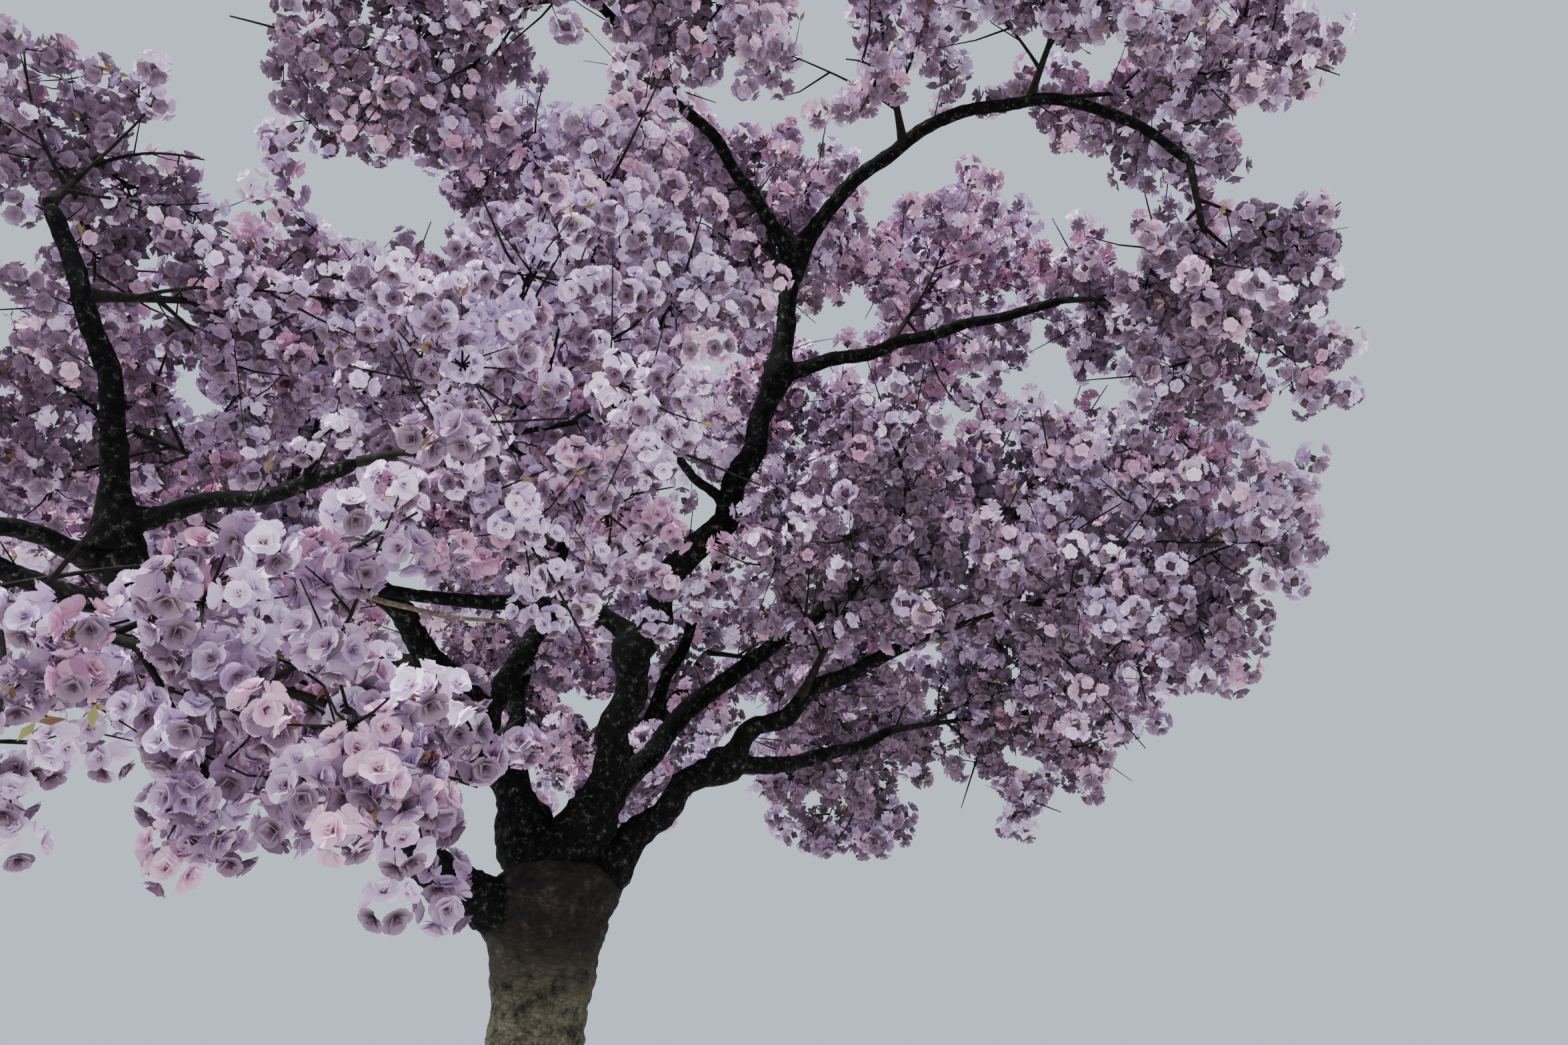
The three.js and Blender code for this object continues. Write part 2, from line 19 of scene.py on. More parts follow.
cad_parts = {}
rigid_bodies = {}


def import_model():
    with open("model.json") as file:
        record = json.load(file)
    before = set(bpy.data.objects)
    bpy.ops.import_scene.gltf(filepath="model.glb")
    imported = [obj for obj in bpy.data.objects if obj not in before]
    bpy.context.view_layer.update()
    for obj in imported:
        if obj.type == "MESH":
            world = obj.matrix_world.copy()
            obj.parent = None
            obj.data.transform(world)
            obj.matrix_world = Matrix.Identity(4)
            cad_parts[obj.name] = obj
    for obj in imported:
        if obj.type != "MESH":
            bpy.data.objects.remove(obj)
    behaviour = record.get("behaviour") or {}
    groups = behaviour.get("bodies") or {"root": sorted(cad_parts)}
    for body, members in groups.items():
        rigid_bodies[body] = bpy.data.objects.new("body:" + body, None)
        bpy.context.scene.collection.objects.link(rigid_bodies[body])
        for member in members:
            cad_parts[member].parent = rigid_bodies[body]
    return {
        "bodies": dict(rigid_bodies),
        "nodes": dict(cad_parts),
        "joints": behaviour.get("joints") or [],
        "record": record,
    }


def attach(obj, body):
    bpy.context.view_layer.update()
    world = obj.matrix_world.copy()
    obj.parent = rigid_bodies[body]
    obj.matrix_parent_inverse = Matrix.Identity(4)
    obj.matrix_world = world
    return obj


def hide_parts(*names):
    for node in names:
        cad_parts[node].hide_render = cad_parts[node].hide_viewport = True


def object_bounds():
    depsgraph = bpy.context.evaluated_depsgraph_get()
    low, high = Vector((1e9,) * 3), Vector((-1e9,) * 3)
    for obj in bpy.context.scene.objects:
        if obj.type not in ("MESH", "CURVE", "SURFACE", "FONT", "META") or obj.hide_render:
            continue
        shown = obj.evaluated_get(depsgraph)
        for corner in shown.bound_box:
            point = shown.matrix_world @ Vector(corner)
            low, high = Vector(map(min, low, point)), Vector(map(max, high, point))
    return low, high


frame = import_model()
CAD_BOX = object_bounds()
LOG = logging.getLogger("cherry")
Array = np.ndarray
Material = bpy.types.Material
Piece = bpy.types.Object
Socket = bpy.types.NodeSocket

# Camera: at eye height, about six metres from the trunk, aimed up
CAMERA_PLACE = (1.2, -6.0, 1.6)
CAMERA_PITCH_DEG = 23.0
CAMERA_LENS_MM = 27.0
CAMERA_SENSOR_MM = 36.0

# The rule's sizes, the same as the solids', in metres and degrees
LIMB_STEPS = 7
COLLAR = 0.30
COLLAR_LENGTH = 0.130
SPACING = 0.003
STEM_STEPS = 3
STEM_WIDTH = 0.034
STEM_TIP_WIDTH = 0.016
TWIG_WIDTH = 0.022
TWIG_TIP_WIDTH = 0.013
TWIGS_PER_MASS = 15
FIRST_SEED = 101
SEED_STEP = 37
STEM_SHARE = 0.8
FIRST_TWIG_AT = 0.22
LAST_TWIG_AT = 0.94
TIP_TWIG_BACK = 0.1
GOLDEN_TURN = 137.5
TURN_SCATTER = 40.0
TWIG_LEAN = 55.0
TIP_TWIG_LEAN = 40.0
TWIG_LENGTH_MIN = 0.72
ROOT_TWIG_LENGTH = 1.05
TIP_TWIG_SHORTENING = 0.35
SIDE_TWIG_AT = 0.45
SIDE_TWIG_TURN = 48.0
SIDE_TWIG_LENGTH = 0.62
SPRAY_WIDTH_MIN = 0.400
SPRAY_WIDTH_MAX = 0.560
FULL_SPRAY_SPREAD = 0.66
SIDE_SPRAY_SHARE = 0.85
SPRAY_SHARE = 0.75

# How far two limbs draw each other's bark out where they meet, in thicknesses of the thinner
JOIN_REACH = 2.0

# Bark's relief: the plates' table and steepness, and the waves that make lumps
PLATE_ROWS = 512
PLATE_STEEPNESS = 2.2
LUMP_WAVES = 9
LUMP_MOST_TURNS = 5
LUMP_PITCHES = (0.5, 2.2)

# How the looks' own shoots stand round their carriers: a helper direction, and a turn for each carrier
SHOOT_HELPER = (0.31, 0.17, 0.93)
CARRIER_TURN = 1.7
STALK_HELPER = (0.2, 0.9, 0.3)
NEARLY_UPRIGHT = 0.9

# How much petals of one ring differ
PETAL_SWAY_DEG = 9
PETAL_RUFFLE = 0.08

GRAFT_HEIGHT = 1.98
PHOTO_SIZE = (2352.0, 1568.0)
NEAREST_DEPTH = 0.05
FULL_TURN = 6.28
NO_QUADS = np.empty((0, 4), int)


@dataclass(frozen=True)
class Limb:
    """One bough or limb: where it leaves its parent and how it runs, in degrees and metres."""

    name: str
    parent: str
    at: float
    length: float
    azimuths: tuple[float, ...]
    rises: tuple[float, ...]
    widths: tuple[float, float]


@dataclass(frozen=True)
class Mass:
    """One mass of blossom: its limb, the way its stem runs, and the space that it fills."""

    name: str
    limb: str
    at: float
    azimuth: float
    rise: float
    droop: float
    reach: float
    spread: float


LIMBS = (
    Limb("low_left_bough", "trunk", 0.87, 2.85, (-140, -128, -108, -96), (14, 26, 24, 22), (0.215, 0.120)),
    Limb("low_left_upright", "low_left_bough", 0.98, 1.30, (-95, -130, -150), (78, 66, 60), (0.105, 0.060)),
    Limb("low_left_outer", "low_left_bough", 0.86, 1.50, (178, 190, 175), (10, 22, 40), (0.095, 0.055)),
    Limb("low_left_inner", "low_left_upright", 0.08, 0.95, (-8, -22), (2, 12), (0.072, 0.046)),
    Limb("low_left_near", "low_left_bough", 0.93, 1.55, (-118, -82, -58), (6, -18, -38), (0.075, 0.040)),
    Limb("left_bough", "trunk", 0.94, 2.75, (172, 168, 218, 230, 226), (52, 66, 45, 22, 32), (0.225, 0.075)),
    Limb("left_bough_upright", "left_bough", 0.36, 1.80, (60, 75, 110), (48, 58, 68), (0.145, 0.070)),
    Limb("left_side_limb", "left_bough", 0.44, 1.50, (140, 160), (24, 30), (0.110, 0.060)),
    Limb("leader", "trunk", 0.95, 3.75, (10, -5, -20, -26, -36, -42, -70), (60, 78, 76, 46, 66, 77, 78),
         (0.205, 0.095)),
    Limb("arched_limb", "leader", 0.33, 1.60, (170, 196, 206, 207, 208), (62, 8, -6, -2, 0), (0.105, 0.055)),
    Limb("leader_left", "leader", 0.97, 1.85, (-128, -124, -112), (32, 12, -12), (0.080, 0.042)),
    Limb("leader_right", "leader", 0.96, 2.60, (-44, -38, -32, -30), (46, 10, -30, -64), (0.092, 0.042)),
    Limb("leader_front", "leader", 0.58, 1.15, (-120, -98), (4, -10), (0.054, 0.034)),
    Limb("side_limb", "leader", 0.78, 1.60, (-8, -12), (12, 10), (0.084, 0.048)),
    Limb("right_bough", "trunk", 0.92, 2.30, (10, 22, 0, -22, -22), (26, 50, 40, 25, 18), (0.180, 0.065)),
    Limb("right_bough_low", "right_bough", 0.46, 1.35, (34, 44), (4, 28), (0.105, 0.058)),
    Limb("right_bough_upright", "trunk", 0.97, 2.75, (66, 42, 16, 6), (50, 48, 40, 32), (0.165, 0.065)),
    Limb("back_left_bough", "trunk", 0.90, 2.80, (126, 108, 84), (36, 48, 50), (0.190, 0.065)),
    Limb("back_left_outer", "back_left_bough", 0.42, 1.70, (168, 160), (26, 40), (0.115, 0.058)),
    Limb("back_right_bough", "trunk", 0.93, 2.80, (92, 68, 66), (34, 42, 46), (0.180, 0.062)),
    Limb("back_right_upright", "back_right_bough", 0.46, 1.70, (50, 10), (62, 72), (0.100, 0.052)),
    Limb("dead_branch", "arched_limb", 0.96, 1.15, (-62, -8, -5), (-32, -14, -2), (0.034, 0.014)),
)

MASSES = (
    Mass("left_top", "low_left_upright", 1, 114, 50, 0, 1.15, 0.64),
    Mass("left_crown", "low_left_upright", 0.72, 72, 30, 0, 1.30, 0.74),
    Mass("left_outer", "low_left_outer", 1, 160, 24, -20, 1.05, 0.74),
    Mass("left_front", "low_left_outer", 0.7, -110, 6, -20, 1.20, 0.68),
    Mass("front_left", "low_left_inner", 1, -10, 6, 0, 1.05, 0.72),
    Mass("near_right", "low_left_near", 1, -15, -18, 0, 2.07, 0.42),
    Mass("near_left", "low_left_near", 0.6, -150, -6, -20, 1.10, 0.48),
    Mass("left_shoulder", "left_bough", 1, 190, 20, 0, 1.20, 0.72),
    Mass("left_dome", "left_bough", 0.86, -60, 72, 0, 1.50, 0.76),
    Mass("dome_left", "left_bough_upright", 1, -126, 64, 0, 1.80, 0.84),
    Mass("dome_back_left", "left_bough_upright", 0.8, 150, 40, 0, 1.40, 0.76),
    Mass("left_side", "left_side_limb", 1, 196, 6, -20, 1.60, 0.80),
    Mass("left_side_top", "left_side_limb", 0.86, 180, 62, 0, 1.30, 0.76),
    Mass("arch_spray", "arched_limb", 1, -100, -10, 0, 0.90, 0.50),
    Mass("top_left", "leader_left", 1, -172, -16, -24, 1.50, 0.68),
    Mass("top_front", "leader_left", 0.62, -94, -14, 0, 1.05, 0.74),
    Mass("right_tip", "leader_right", 1, 64, -54, 0, 0.95, 0.64),
    Mass("right_top", "leader_right", 0.62, -76, 26, 0, 0.95, 0.70),
    Mass("crown_front", "leader_right", 0.34, -105, 24, 0, 1.10, 0.66),
    Mass("crown_right", "leader_right", 0.52, 4, 16, -14, 1.70, 0.74),
    Mass("crown_top", "leader", 0.93, 112, 54, 0, 1.62, 0.74),
    Mass("crown_left", "leader", 0.88, -179, 26, 0, 2.41, 0.72),
    Mass("front_centre", "leader_front", 1, -98, 20, 0, 1.05, 0.64),
    Mass("right_upper", "side_limb", 1, 30, 20, 0, 0.95, 0.84),
    Mass("right_dome", "side_limb", 0.4, 66, 46, 0, 2.10, 0.84),
    Mass("right_low", "right_bough", 1, -26, 14, -16, 1.90, 0.80),
    Mass("right_back_low", "right_bough_low", 1, 20, 14, -10, 1.50, 0.74),
    Mass("back_low", "right_bough_low", 0.8, 92, 8, -10, 1.40, 0.72),
    Mass("right_side", "right_bough_upright", 1, -28, 20, -20, 2.30, 0.86),
    Mass("right_back", "right_bough_upright", 0.85, 49, 62, 0, 2.16, 0.84),
    Mass("back_left", "back_left_bough", 1, 120, 2, -20, 1.50, 0.82),
    Mass("back_top", "back_left_bough", 0.9, 60, 66, 0, 1.30, 0.80),
    Mass("left_back", "back_left_outer", 1, 166, 18, -16, 1.50, 0.80),
    Mass("back_right", "back_right_bough", 1, 40, 6, -10, 1.50, 0.80),
    Mass("right_middle", "right_bough", 0.7, -48, 52, -10, 1.60, 0.72),
    Mass("dome_back", "back_right_upright", 1, 48, 66, 0, 1.80, 0.86),
    Mass("back_far", "back_right_bough", 0.8, 118, 0, -20, 1.50, 0.76),
)

# Masses that stand in open light in the photo, and those that stand in deep shade
# Balls near these masses' stems get the painted shade tone, out to a short reach in open light and a long one
# in deep shade
IN_OPEN_LIGHT = (
    "near_left", "near_right", "left_front", "front_left", "front_centre", "crown_front", "dome_left",
    "left_dome", "right_dome",
)
IN_DEEP_SHADE = (
    "right_low", "right_middle", "right_back_low", "back_low", "right_side", "back_right", "right_tip",
    "left_outer", "right_back", "left_top", "left_shoulder", "top_left", "crown_right", "back_left",
    "back_far", "left_back",
)


class Seed(IntEnum):
    """Seeds of the streams of numbers that only the looks use."""

    GRAFT_LINE = 4
    TRUNK_SWELLS = 5
    TRUNK_BUMPS = 6
    TRUNK_PLATES = 11
    TRUNK_CRACKS = 12
    LIMB_BARK = 40
    TWIGS = 71
    STEM_SHOOTS = 81
    TWIG_SHOOTS = 82
    SPURS = 83
    FANS = 84
    BARE_TWIGS = 85
    SHOOT_BALLS = 91
    TWIG_BALLS = 92
    STEM_BALLS = 93
    BLOSSOM = 94
    FLOWERS = 95
    LEAVES = 97
    EYES = 98


def unit(vectors: Array) -> Array:
    """Vectors, along the last axis, divided by their lengths."""
    return vectors / np.maximum(np.linalg.norm(vectors, axis=-1, keepdims=True), 1e-9)


def heading(azimuth: float, rise: float) -> Array:
    """A unit vector from an azimuth from +X towards +Y and a rise above level, both in degrees."""
    a, r = math.radians(azimuth), math.radians(rise)
    return np.array([math.cos(r) * math.cos(a), math.cos(r) * math.sin(a), math.sin(r)])


def grow_path(start: Array, azimuths: tuple, rises: tuple, length: float, steps: int) -> Array:
    """A path that turns steadily through its azimuths and rises, by equal steps.

    Args:
        start: first point.
        azimuths: headings spread evenly along the path, in degrees.
        rises: rises spread evenly along the path, in degrees.
        length: whole length.
        steps: number of equal steps.

    Returns:
        The points, one more than the steps.
    """
    shares = (np.arange(steps) + 0.5) / steps
    turned = np.interp(shares, np.linspace(0, 1, len(azimuths)), azimuths)
    risen = np.interp(shares, np.linspace(0, 1, len(rises)), rises)
    moves = np.array([heading(a, r) for a, r in zip(turned, risen)]) * length / steps
    return np.vstack([start, start + np.cumsum(moves, axis=0)])


def point_along(points: Array, share: float) -> Array:
    """The point at a share of the way along a path of equal steps.

    Args:
        points: the path.
        share: from 0 at its start to 1 at its end.

    Returns:
        The point.
    """
    place = share * (len(points) - 1)
    index = min(int(place), len(points) - 2)
    return points[index] + (points[index + 1] - points[index]) * (place - index)


def direction_along(points: Array, share: float) -> Array:
    """The direction of the step that a share of the way along a path falls in."""
    index = min(int(share * (len(points) - 1)), len(points) - 2)
    return unit(points[index + 1] - points[index])


def frames_along(points: Array) -> tuple[Array, Array]:
    """Two directions square to a path at each point, turned as little as possible between points.

    Args:
        points: the path.

    Returns:
        The across directions and the over directions.
    """
    tangents = unit(np.vstack([points[1] - points[0], points[2:] - points[:-2], points[-1] - points[-2]]))
    helper = np.array([1.0, 0, 0]) if abs(tangents[0][2]) > NEARLY_UPRIGHT else np.array([0, 0, 1.0])
    across = [unit(np.cross(tangents[0], helper))]
    for tangent in tangents[1:]:
        across.append(unit(across[-1] - tangent * across[-1].dot(tangent)))
    across = np.array(across)
    return across, np.cross(across, tangents)


def rotated(vector: Array, axis: Array, degrees: float) -> Array:
    """A vector turned about a unit axis, by Rodrigues' formula.

    Args:
        vector: the vector to turn.
        axis: unit axis.
        degrees: angle.

    Returns:
        The turned vector.
    """
    angle = math.radians(degrees)
    turned = vector * math.cos(angle) + np.cross(axis, vector) * math.sin(angle)
    return turned + axis * axis.dot(vector) * (1 - math.cos(angle))


class Draw:
    """The repeatable stream of numbers from 0 to 1 that the solids use."""

    def __init__(self, seed: int) -> None:
        """Starts the stream from a seed."""
        self.state = seed

    def __call__(self) -> float:
        """The next number."""
        self.state = (self.state * 1664525 + 1013904223) % 4294967296
        return self.state / 4294967296


@dataclass
class Obstacles:
    """The straight stretches, with radii, that limbs and blossom take up."""

    owners: list[str] = field(default_factory=list)
    starts: list[Array] = field(default_factory=list)
    ends: list[Array] = field(default_factory=list)
    radii: list[float] = field(default_factory=list)

    def add(self, owner: str, start: Array, end: Array, radius: float) -> None:
        """Adds one stretch.

        Args:
            owner: name of the limb or mass.
            start: first end.
            end: other end.
            radius: half its width.
        """
        self.owners.append(owner)
        self.starts.append(start)
        self.ends.append(end)
        self.radii.append(radius)

    def distances(self, start: Array, end: Array) -> Array:
        """Shortest distance from one stretch to each of these, both taken as straight lines.

        Args:
            start: first end of the stretch.
            end: other end.

        Returns:
            One distance for each stretch held.
        """
        starts, ends = np.array(self.starts), np.array(self.ends)
        along, other, between = end - start, ends - starts, start - starts
        length_a = along.dot(along)
        length_b = np.einsum("ij,ij->i", other, other)
        mixed = other @ along
        scale = length_a * length_b - mixed * mixed
        dot_b = np.einsum("ij,ij->i", other, between)
        dot_a = between @ along
        good = scale > 1e-6 * length_a * length_b
        s = np.where(good, (mixed * dot_b - length_b * dot_a) / np.where(good, scale, 1), 0)
        s = np.clip(s, 0, 1)
        t = np.where(length_b > 0, (mixed * s + dot_b) / np.where(length_b > 0, length_b, 1), 0)
        t = np.clip(t, 0, 1)
        s = np.clip((mixed * t - dot_a) / length_a, 0, 1) if length_a > 0 else np.zeros_like(t)
        return np.linalg.norm(between + s[:, None] * along - t[:, None] * other, axis=1)

    def is_clear(self, start: Array, end: Array, radius: float) -> bool:
        """True where a stretch keeps its distance from all of these.

        Args:
            start: first end of the stretch.
            end: other end.
            radius: half its width.

        Returns:
            Whether it is clear.
        """
        if not self.starts:
            return True
        return bool(np.all(self.distances(start, end) > radius + np.array(self.radii) + SPACING))


@dataclass(frozen=True)
class Twig:
    """A twig of a mass, with its own width and the width of the spray at its tip."""

    start: Array
    end: Array
    width: float
    spray_width: float


@dataclass(frozen=True)
class GrownMass:
    """A mass after growing: its stem and the twigs that have room."""

    mass: Mass
    stem: Array
    twigs: tuple[Twig, ...]


class GrowthRule:
    """The solids' seeded rule: limbs first, then masses, whose twigs keep clear of all before them."""

    def __init__(self, trunk_path: Array, trunk_radii: Array) -> None:
        """Grows every limb and mass.

        Args:
            trunk_path: the trunk's centre line, by equal shares of its height.
            trunk_radii: the trunk's radius at each of its points.
        """
        self.paths: dict[str, Array] = {"trunk": trunk_path}
        self.taken = Obstacles()
        self._take("trunk", trunk_path, trunk_radii)
        for limb in LIMBS:
            start = point_along(self.paths[limb.parent], limb.at)
            path = grow_path(start, limb.azimuths, limb.rises, limb.length, LIMB_STEPS)
            self.paths[limb.name] = path
            self._take(limb.name, path, self.limb_radii(limb, np.linspace(0, 1, LIMB_STEPS + 1)))
        self.masses = [self._grow(mass, FIRST_SEED + SEED_STEP * i) for i, mass in enumerate(MASSES)]

    @staticmethod
    def limb_radii(limb: Limb, shares: Array) -> Array:
        """A limb's radius: a straight taper, widened by a collar that fades from its root."""
        collar = 1 + COLLAR * np.exp(-shares * limb.length / COLLAR_LENGTH)
        return np.interp(shares, [0, 1], limb.widths) / 2 * collar

    def wood_but(self, name: str) -> tuple[Array, Array, Array]:
        """The stretches of the trunk and of all limbs but one.

        Args:
            name: the one that is left out, or nothing.

        Returns:
            Their first ends, other ends and radii.
        """
        taken = self.taken
        mask = np.array([owner in self.paths and owner != name for owner in taken.owners])
        return np.array(taken.starts)[mask], np.array(taken.ends)[mask], np.array(taken.radii)[mask]

    def _take(self, owner: str, points: Array, radii: Array) -> None:
        """Adds a path's stretches to what is taken, for the limb or mass that owns them."""
        for i in range(len(points) - 1):
            self.taken.add(owner, points[i], points[i + 1], max(radii[i], radii[i + 1]))

    @staticmethod
    def spray_share(mass: Mass) -> float:
        """The share of its full width that a spray has, which is less in a narrow mass."""
        return min(1.0, mass.spread / FULL_SPRAY_SPREAD)

    def _plan(self, mass: Mass, stem: Array, draw: Draw) -> list[tuple[Twig, Twig]]:
        """The twigs of a mass before any is skipped, round the stem by the golden turn, in pairs.

        Args:
            mass: the mass.
            stem: its stem's points.
            draw: its stream of numbers.

        Returns:
            Pairs of a twig and its side twig.
        """
        across, over = frames_along(stem)
        full = self.spray_share(mass)
        pairs = []
        for i in range(TWIGS_PER_MASS):
            station = FIRST_TWIG_AT + (LAST_TWIG_AT - FIRST_TWIG_AT) * i / (TWIGS_PER_MASS - 1)
            ring = int(station * STEM_STEPS)
            turn = math.radians(i * GOLDEN_TURN + TURN_SCATTER * (draw() - 0.5))
            lean = math.radians(TWIG_LEAN + (TIP_TWIG_LEAN - TWIG_LEAN) * station)
            radial = across[ring] * math.cos(turn) + over[ring] * math.sin(turn)
            direction = unit(direction_along(stem, station) * math.cos(lean) + radial * math.sin(lean))
            growth = TWIG_LENGTH_MIN + (1 - TWIG_LENGTH_MIN) * draw()
            length = mass.spread * growth * (ROOT_TWIG_LENGTH - TIP_TWIG_SHORTENING * station)
            start = point_along(stem, station)
            end = start + direction * length
            fork = start + (end - start) * SIDE_TWIG_AT
            side_turn = -SIDE_TWIG_TURN if draw() < 0.5 else SIDE_TWIG_TURN
            side_end = fork + rotated(direction, across[ring], side_turn) * length * SIDE_TWIG_LENGTH
            width = full * (SPRAY_WIDTH_MIN + (SPRAY_WIDTH_MAX - SPRAY_WIDTH_MIN) * draw())
            side_width = full * (SPRAY_WIDTH_MIN + (SPRAY_WIDTH_MAX - SPRAY_WIDTH_MIN) * draw())
            twig = Twig(start, end, TWIG_WIDTH, width)
            pairs.append((twig, Twig(fork, side_end, TWIG_TIP_WIDTH, side_width * SIDE_SPRAY_SHARE)))
        return pairs

    def _grow(self, mass: Mass, seed: int) -> GrownMass:
        """One mass: its stem, and the twigs that would meet nothing else.

        Args:
            mass: the mass.
            seed: seed of its stream of numbers.

        Returns:
            The grown mass.
        """
        draw = Draw(seed)
        root = point_along(self.paths[mass.limb], mass.at)
        rises = (mass.rise, mass.rise + mass.droop)
        stem = grow_path(root, (mass.azimuth,), rises, mass.reach * STEM_SHARE, STEM_STEPS)
        kept: list[Twig] = []
        middles = Obstacles()

        def room_for(twig: Twig) -> bool:
            """Keeps a twig where it and its spray would meet nothing else.

            Args:
                twig: the twig.

            Returns:
                Whether it is kept.
            """
            radius = twig.spray_width / 2
            middle = radius * SPRAY_SHARE
            if not (self.taken.is_clear(twig.start, twig.end, twig.width / 2)
                    and self.taken.is_clear(twig.end, twig.end, radius)
                    and middles.is_clear(twig.end, twig.end, middle)):
                return False
            middles.add(mass.name, twig.end, twig.end, middle)
            kept.append(twig)
            return True

        for twig, side in self._plan(mass, stem, draw):
            if room_for(twig):
                room_for(side)
        before_tip = stem[-1] + (stem[-2] - stem[-1]) * TIP_TWIG_BACK
        tip_spray = SPRAY_WIDTH_MAX * SIDE_SPRAY_SHARE * self.spray_share(mass)
        room_for(Twig(before_tip, stem[-1], STEM_TIP_WIDTH, tip_spray))
        self._take(mass.name, stem, np.linspace(STEM_WIDTH, STEM_TIP_WIDTH, STEM_STEPS + 1) / 2)
        for twig in kept:
            self.taken.add(mass.name, twig.start, twig.end, twig.width / 2)
            self.taken.add(mass.name, twig.end, twig.end, twig.spray_width / 2)
        return GrownMass(mass, stem, tuple(kept))


@dataclass
class Shape:
    """Vertices with quads and triangles that index them."""

    verts: Array
    quads: Array
    tris: Array

    def triangles(self) -> int:
        """Number of triangles after the quads are split."""
        return 2 * len(self.quads) + len(self.tris)


def joined(shapes: list[Shape]) -> Shape:
    """Several shapes as one, with their face numbers shifted.

    Args:
        shapes: the shapes.

    Returns:
        The joined shape.
    """
    starts = np.cumsum([0] + [len(s.verts) for s in shapes[:-1]])
    return Shape(
        np.concatenate([s.verts for s in shapes]),
        np.concatenate([s.quads + k for s, k in zip(shapes, starts)]),
        np.concatenate([s.tris + k for s, k in zip(shapes, starts)]),
    )


def make_piece(name: str, shape: Shape, material: Material, smooth: bool = True) -> Piece:
    """A shape as a mesh object at the origin, in its material.

    Args:
        name: the piece's name.
        shape: its vertices and faces.
        material: its material.
        smooth: whether its shading is smooth.

    Returns:
        The new object.
    """
    mesh = bpy.data.meshes.new(name)
    loops = np.concatenate([shape.quads.ravel(), shape.tris.ravel()]).astype(np.int32)
    sizes = np.concatenate([np.full(len(shape.quads), 4), np.full(len(shape.tris), 3)])
    mesh.vertices.add(len(shape.verts))
    mesh.vertices.foreach_set("co", shape.verts.astype(np.float32).ravel())
    mesh.loops.add(len(loops))
    mesh.loops.foreach_set("vertex_index", loops)
    mesh.polygons.add(len(sizes))
    mesh.polygons.foreach_set("loop_start", np.concatenate([[0], np.cumsum(sizes)[:-1]]).astype(np.int32))
    mesh.polygons.foreach_set("use_smooth", np.full(len(sizes), smooth))
    mesh.update(calc_edges=True)
    mesh.validate()
    mesh.materials.append(material)
    piece = bpy.data.objects.new(name, mesh)
    bpy.context.scene.collection.objects.link(piece)
    LOG.info("%s: %d triangles", name, shape.triangles())
    return piece


def square_to(ahead: Array, helper: Array | tuple[float, float, float]) -> tuple[Array, Array]:
    """Two directions square to each of many, from a helper that none of them follows."""
    side = unit(np.cross(ahead, helper))
    return side, np.cross(ahead, side)


def round_about(across: Array, over: Array, angles: Array) -> Array:
    """Directions round a line at each angle: across times its cosine plus over times its sine."""
    return across[..., None, :] * np.cos(angles)[:, None] + over[..., None, :] * np.sin(angles)[:, None]


def tube_faces(rings: int, sides: int) -> tuple[Array, Array]:
    """Faces of a closed tube: its points run ring by ring, and the middles of both ends come last.

    Args:
        rings: number of rings.
        sides: points in each.

    Returns:
        The wall's quads and the triangles of both fans.
    """
    i, j = np.meshgrid(np.arange(rings - 1), np.arange(sides), indexing="ij")
    k = (j + 1) % sides
    quads = np.stack([i * sides + j, i * sides + k, (i + 1) * sides + k, (i + 1) * sides + j], -1)
    j, k, last = j[0], k[0], (rings - 1) * sides
    first_fan = np.stack([np.full(sides, rings * sides), k, j], -1)
    last_fan = np.stack([np.full(sides, rings * sides + 1), last + j, last + k], -1)
    return quads.reshape(-1, 4), np.concatenate([first_fan, last_fan])


def grid_tube(walls: Array) -> Shape:
    """A closed tube from its points by ring and by angle, with a fan at its first and last ring."""
    ends = np.stack([walls[0].mean(axis=0), walls[-1].mean(axis=0)])
    return Shape(np.concatenate([walls.reshape(-1, 3), ends]), *tube_faces(*walls.shape[:2]))


def repeated(verts: Array, quads: Array, tris: Array) -> Shape:
    """The same faces on many sets of points, as one shape.

    Args:
        verts: points by set and by number.
        quads: the quads of one set.
        tris: its triangles.

    Returns:
        The shape.
    """
    shift = (np.arange(len(verts)) * verts.shape[1])[:, None, None]
    quads, tris = (quads[None] + shift).reshape(-1, 4), (tris[None] + shift).reshape(-1, 3)
    return Shape(verts.reshape(-1, 3), quads, tris)


def swept_tubes(paths: Array, radii: Array, sides: int) -> Shape:
    """Many closed tubes at once: point i, angle a is path i + radius * (across cos a + over sin a).

    Args:
        paths: centre lines, one row of points for each tube.
        radii: radius at each point.
        sides: number of angles.

    Returns:
        All tubes as one shape, each with a fan at both ends.
    """
    count, steps = paths.shape[:2]
    tangents = unit(np.gradient(paths, axis=1))
    helper = np.eye(3)[np.abs(tangents).max(axis=1).argmin(axis=1)][:, None]
    angles = np.linspace(0, 2 * np.pi, sides, endpoint=False)
    ring = round_about(*square_to(tangents, helper), angles)
    walls = (paths[:, :, None] + ring * radii[:, :, None, None]).reshape(count, steps * sides, 3)
    verts = np.concatenate([walls, paths[:, :1], paths[:, -1:]], axis=1)
    return repeated(verts, *tube_faces(steps, sides))


def smooth_path(points: Array, count: int) -> Array:
    """A path through the same points with rounded bends, by Catmull and Rom's cubic formula.

    Args:
        points: the corners.
        count: number of points wanted.

    Returns:
        The finer path.
    """
    padded = np.vstack([2 * points[0] - points[1], points, 2 * points[-1] - points[-2]])
    place = np.linspace(0, len(points) - 1, count)
    index = np.minimum(place.astype(int), len(points) - 2)
    t = (place - index)[:, None]
    a, b, c, d = (padded[index + k] for k in range(4))
    return 0.5 * (2 * b + (c - a) * t + (2 * a - 5 * b + 4 * c - d) * t**2 + (3 * b - a - 3 * c + d) * t**3)


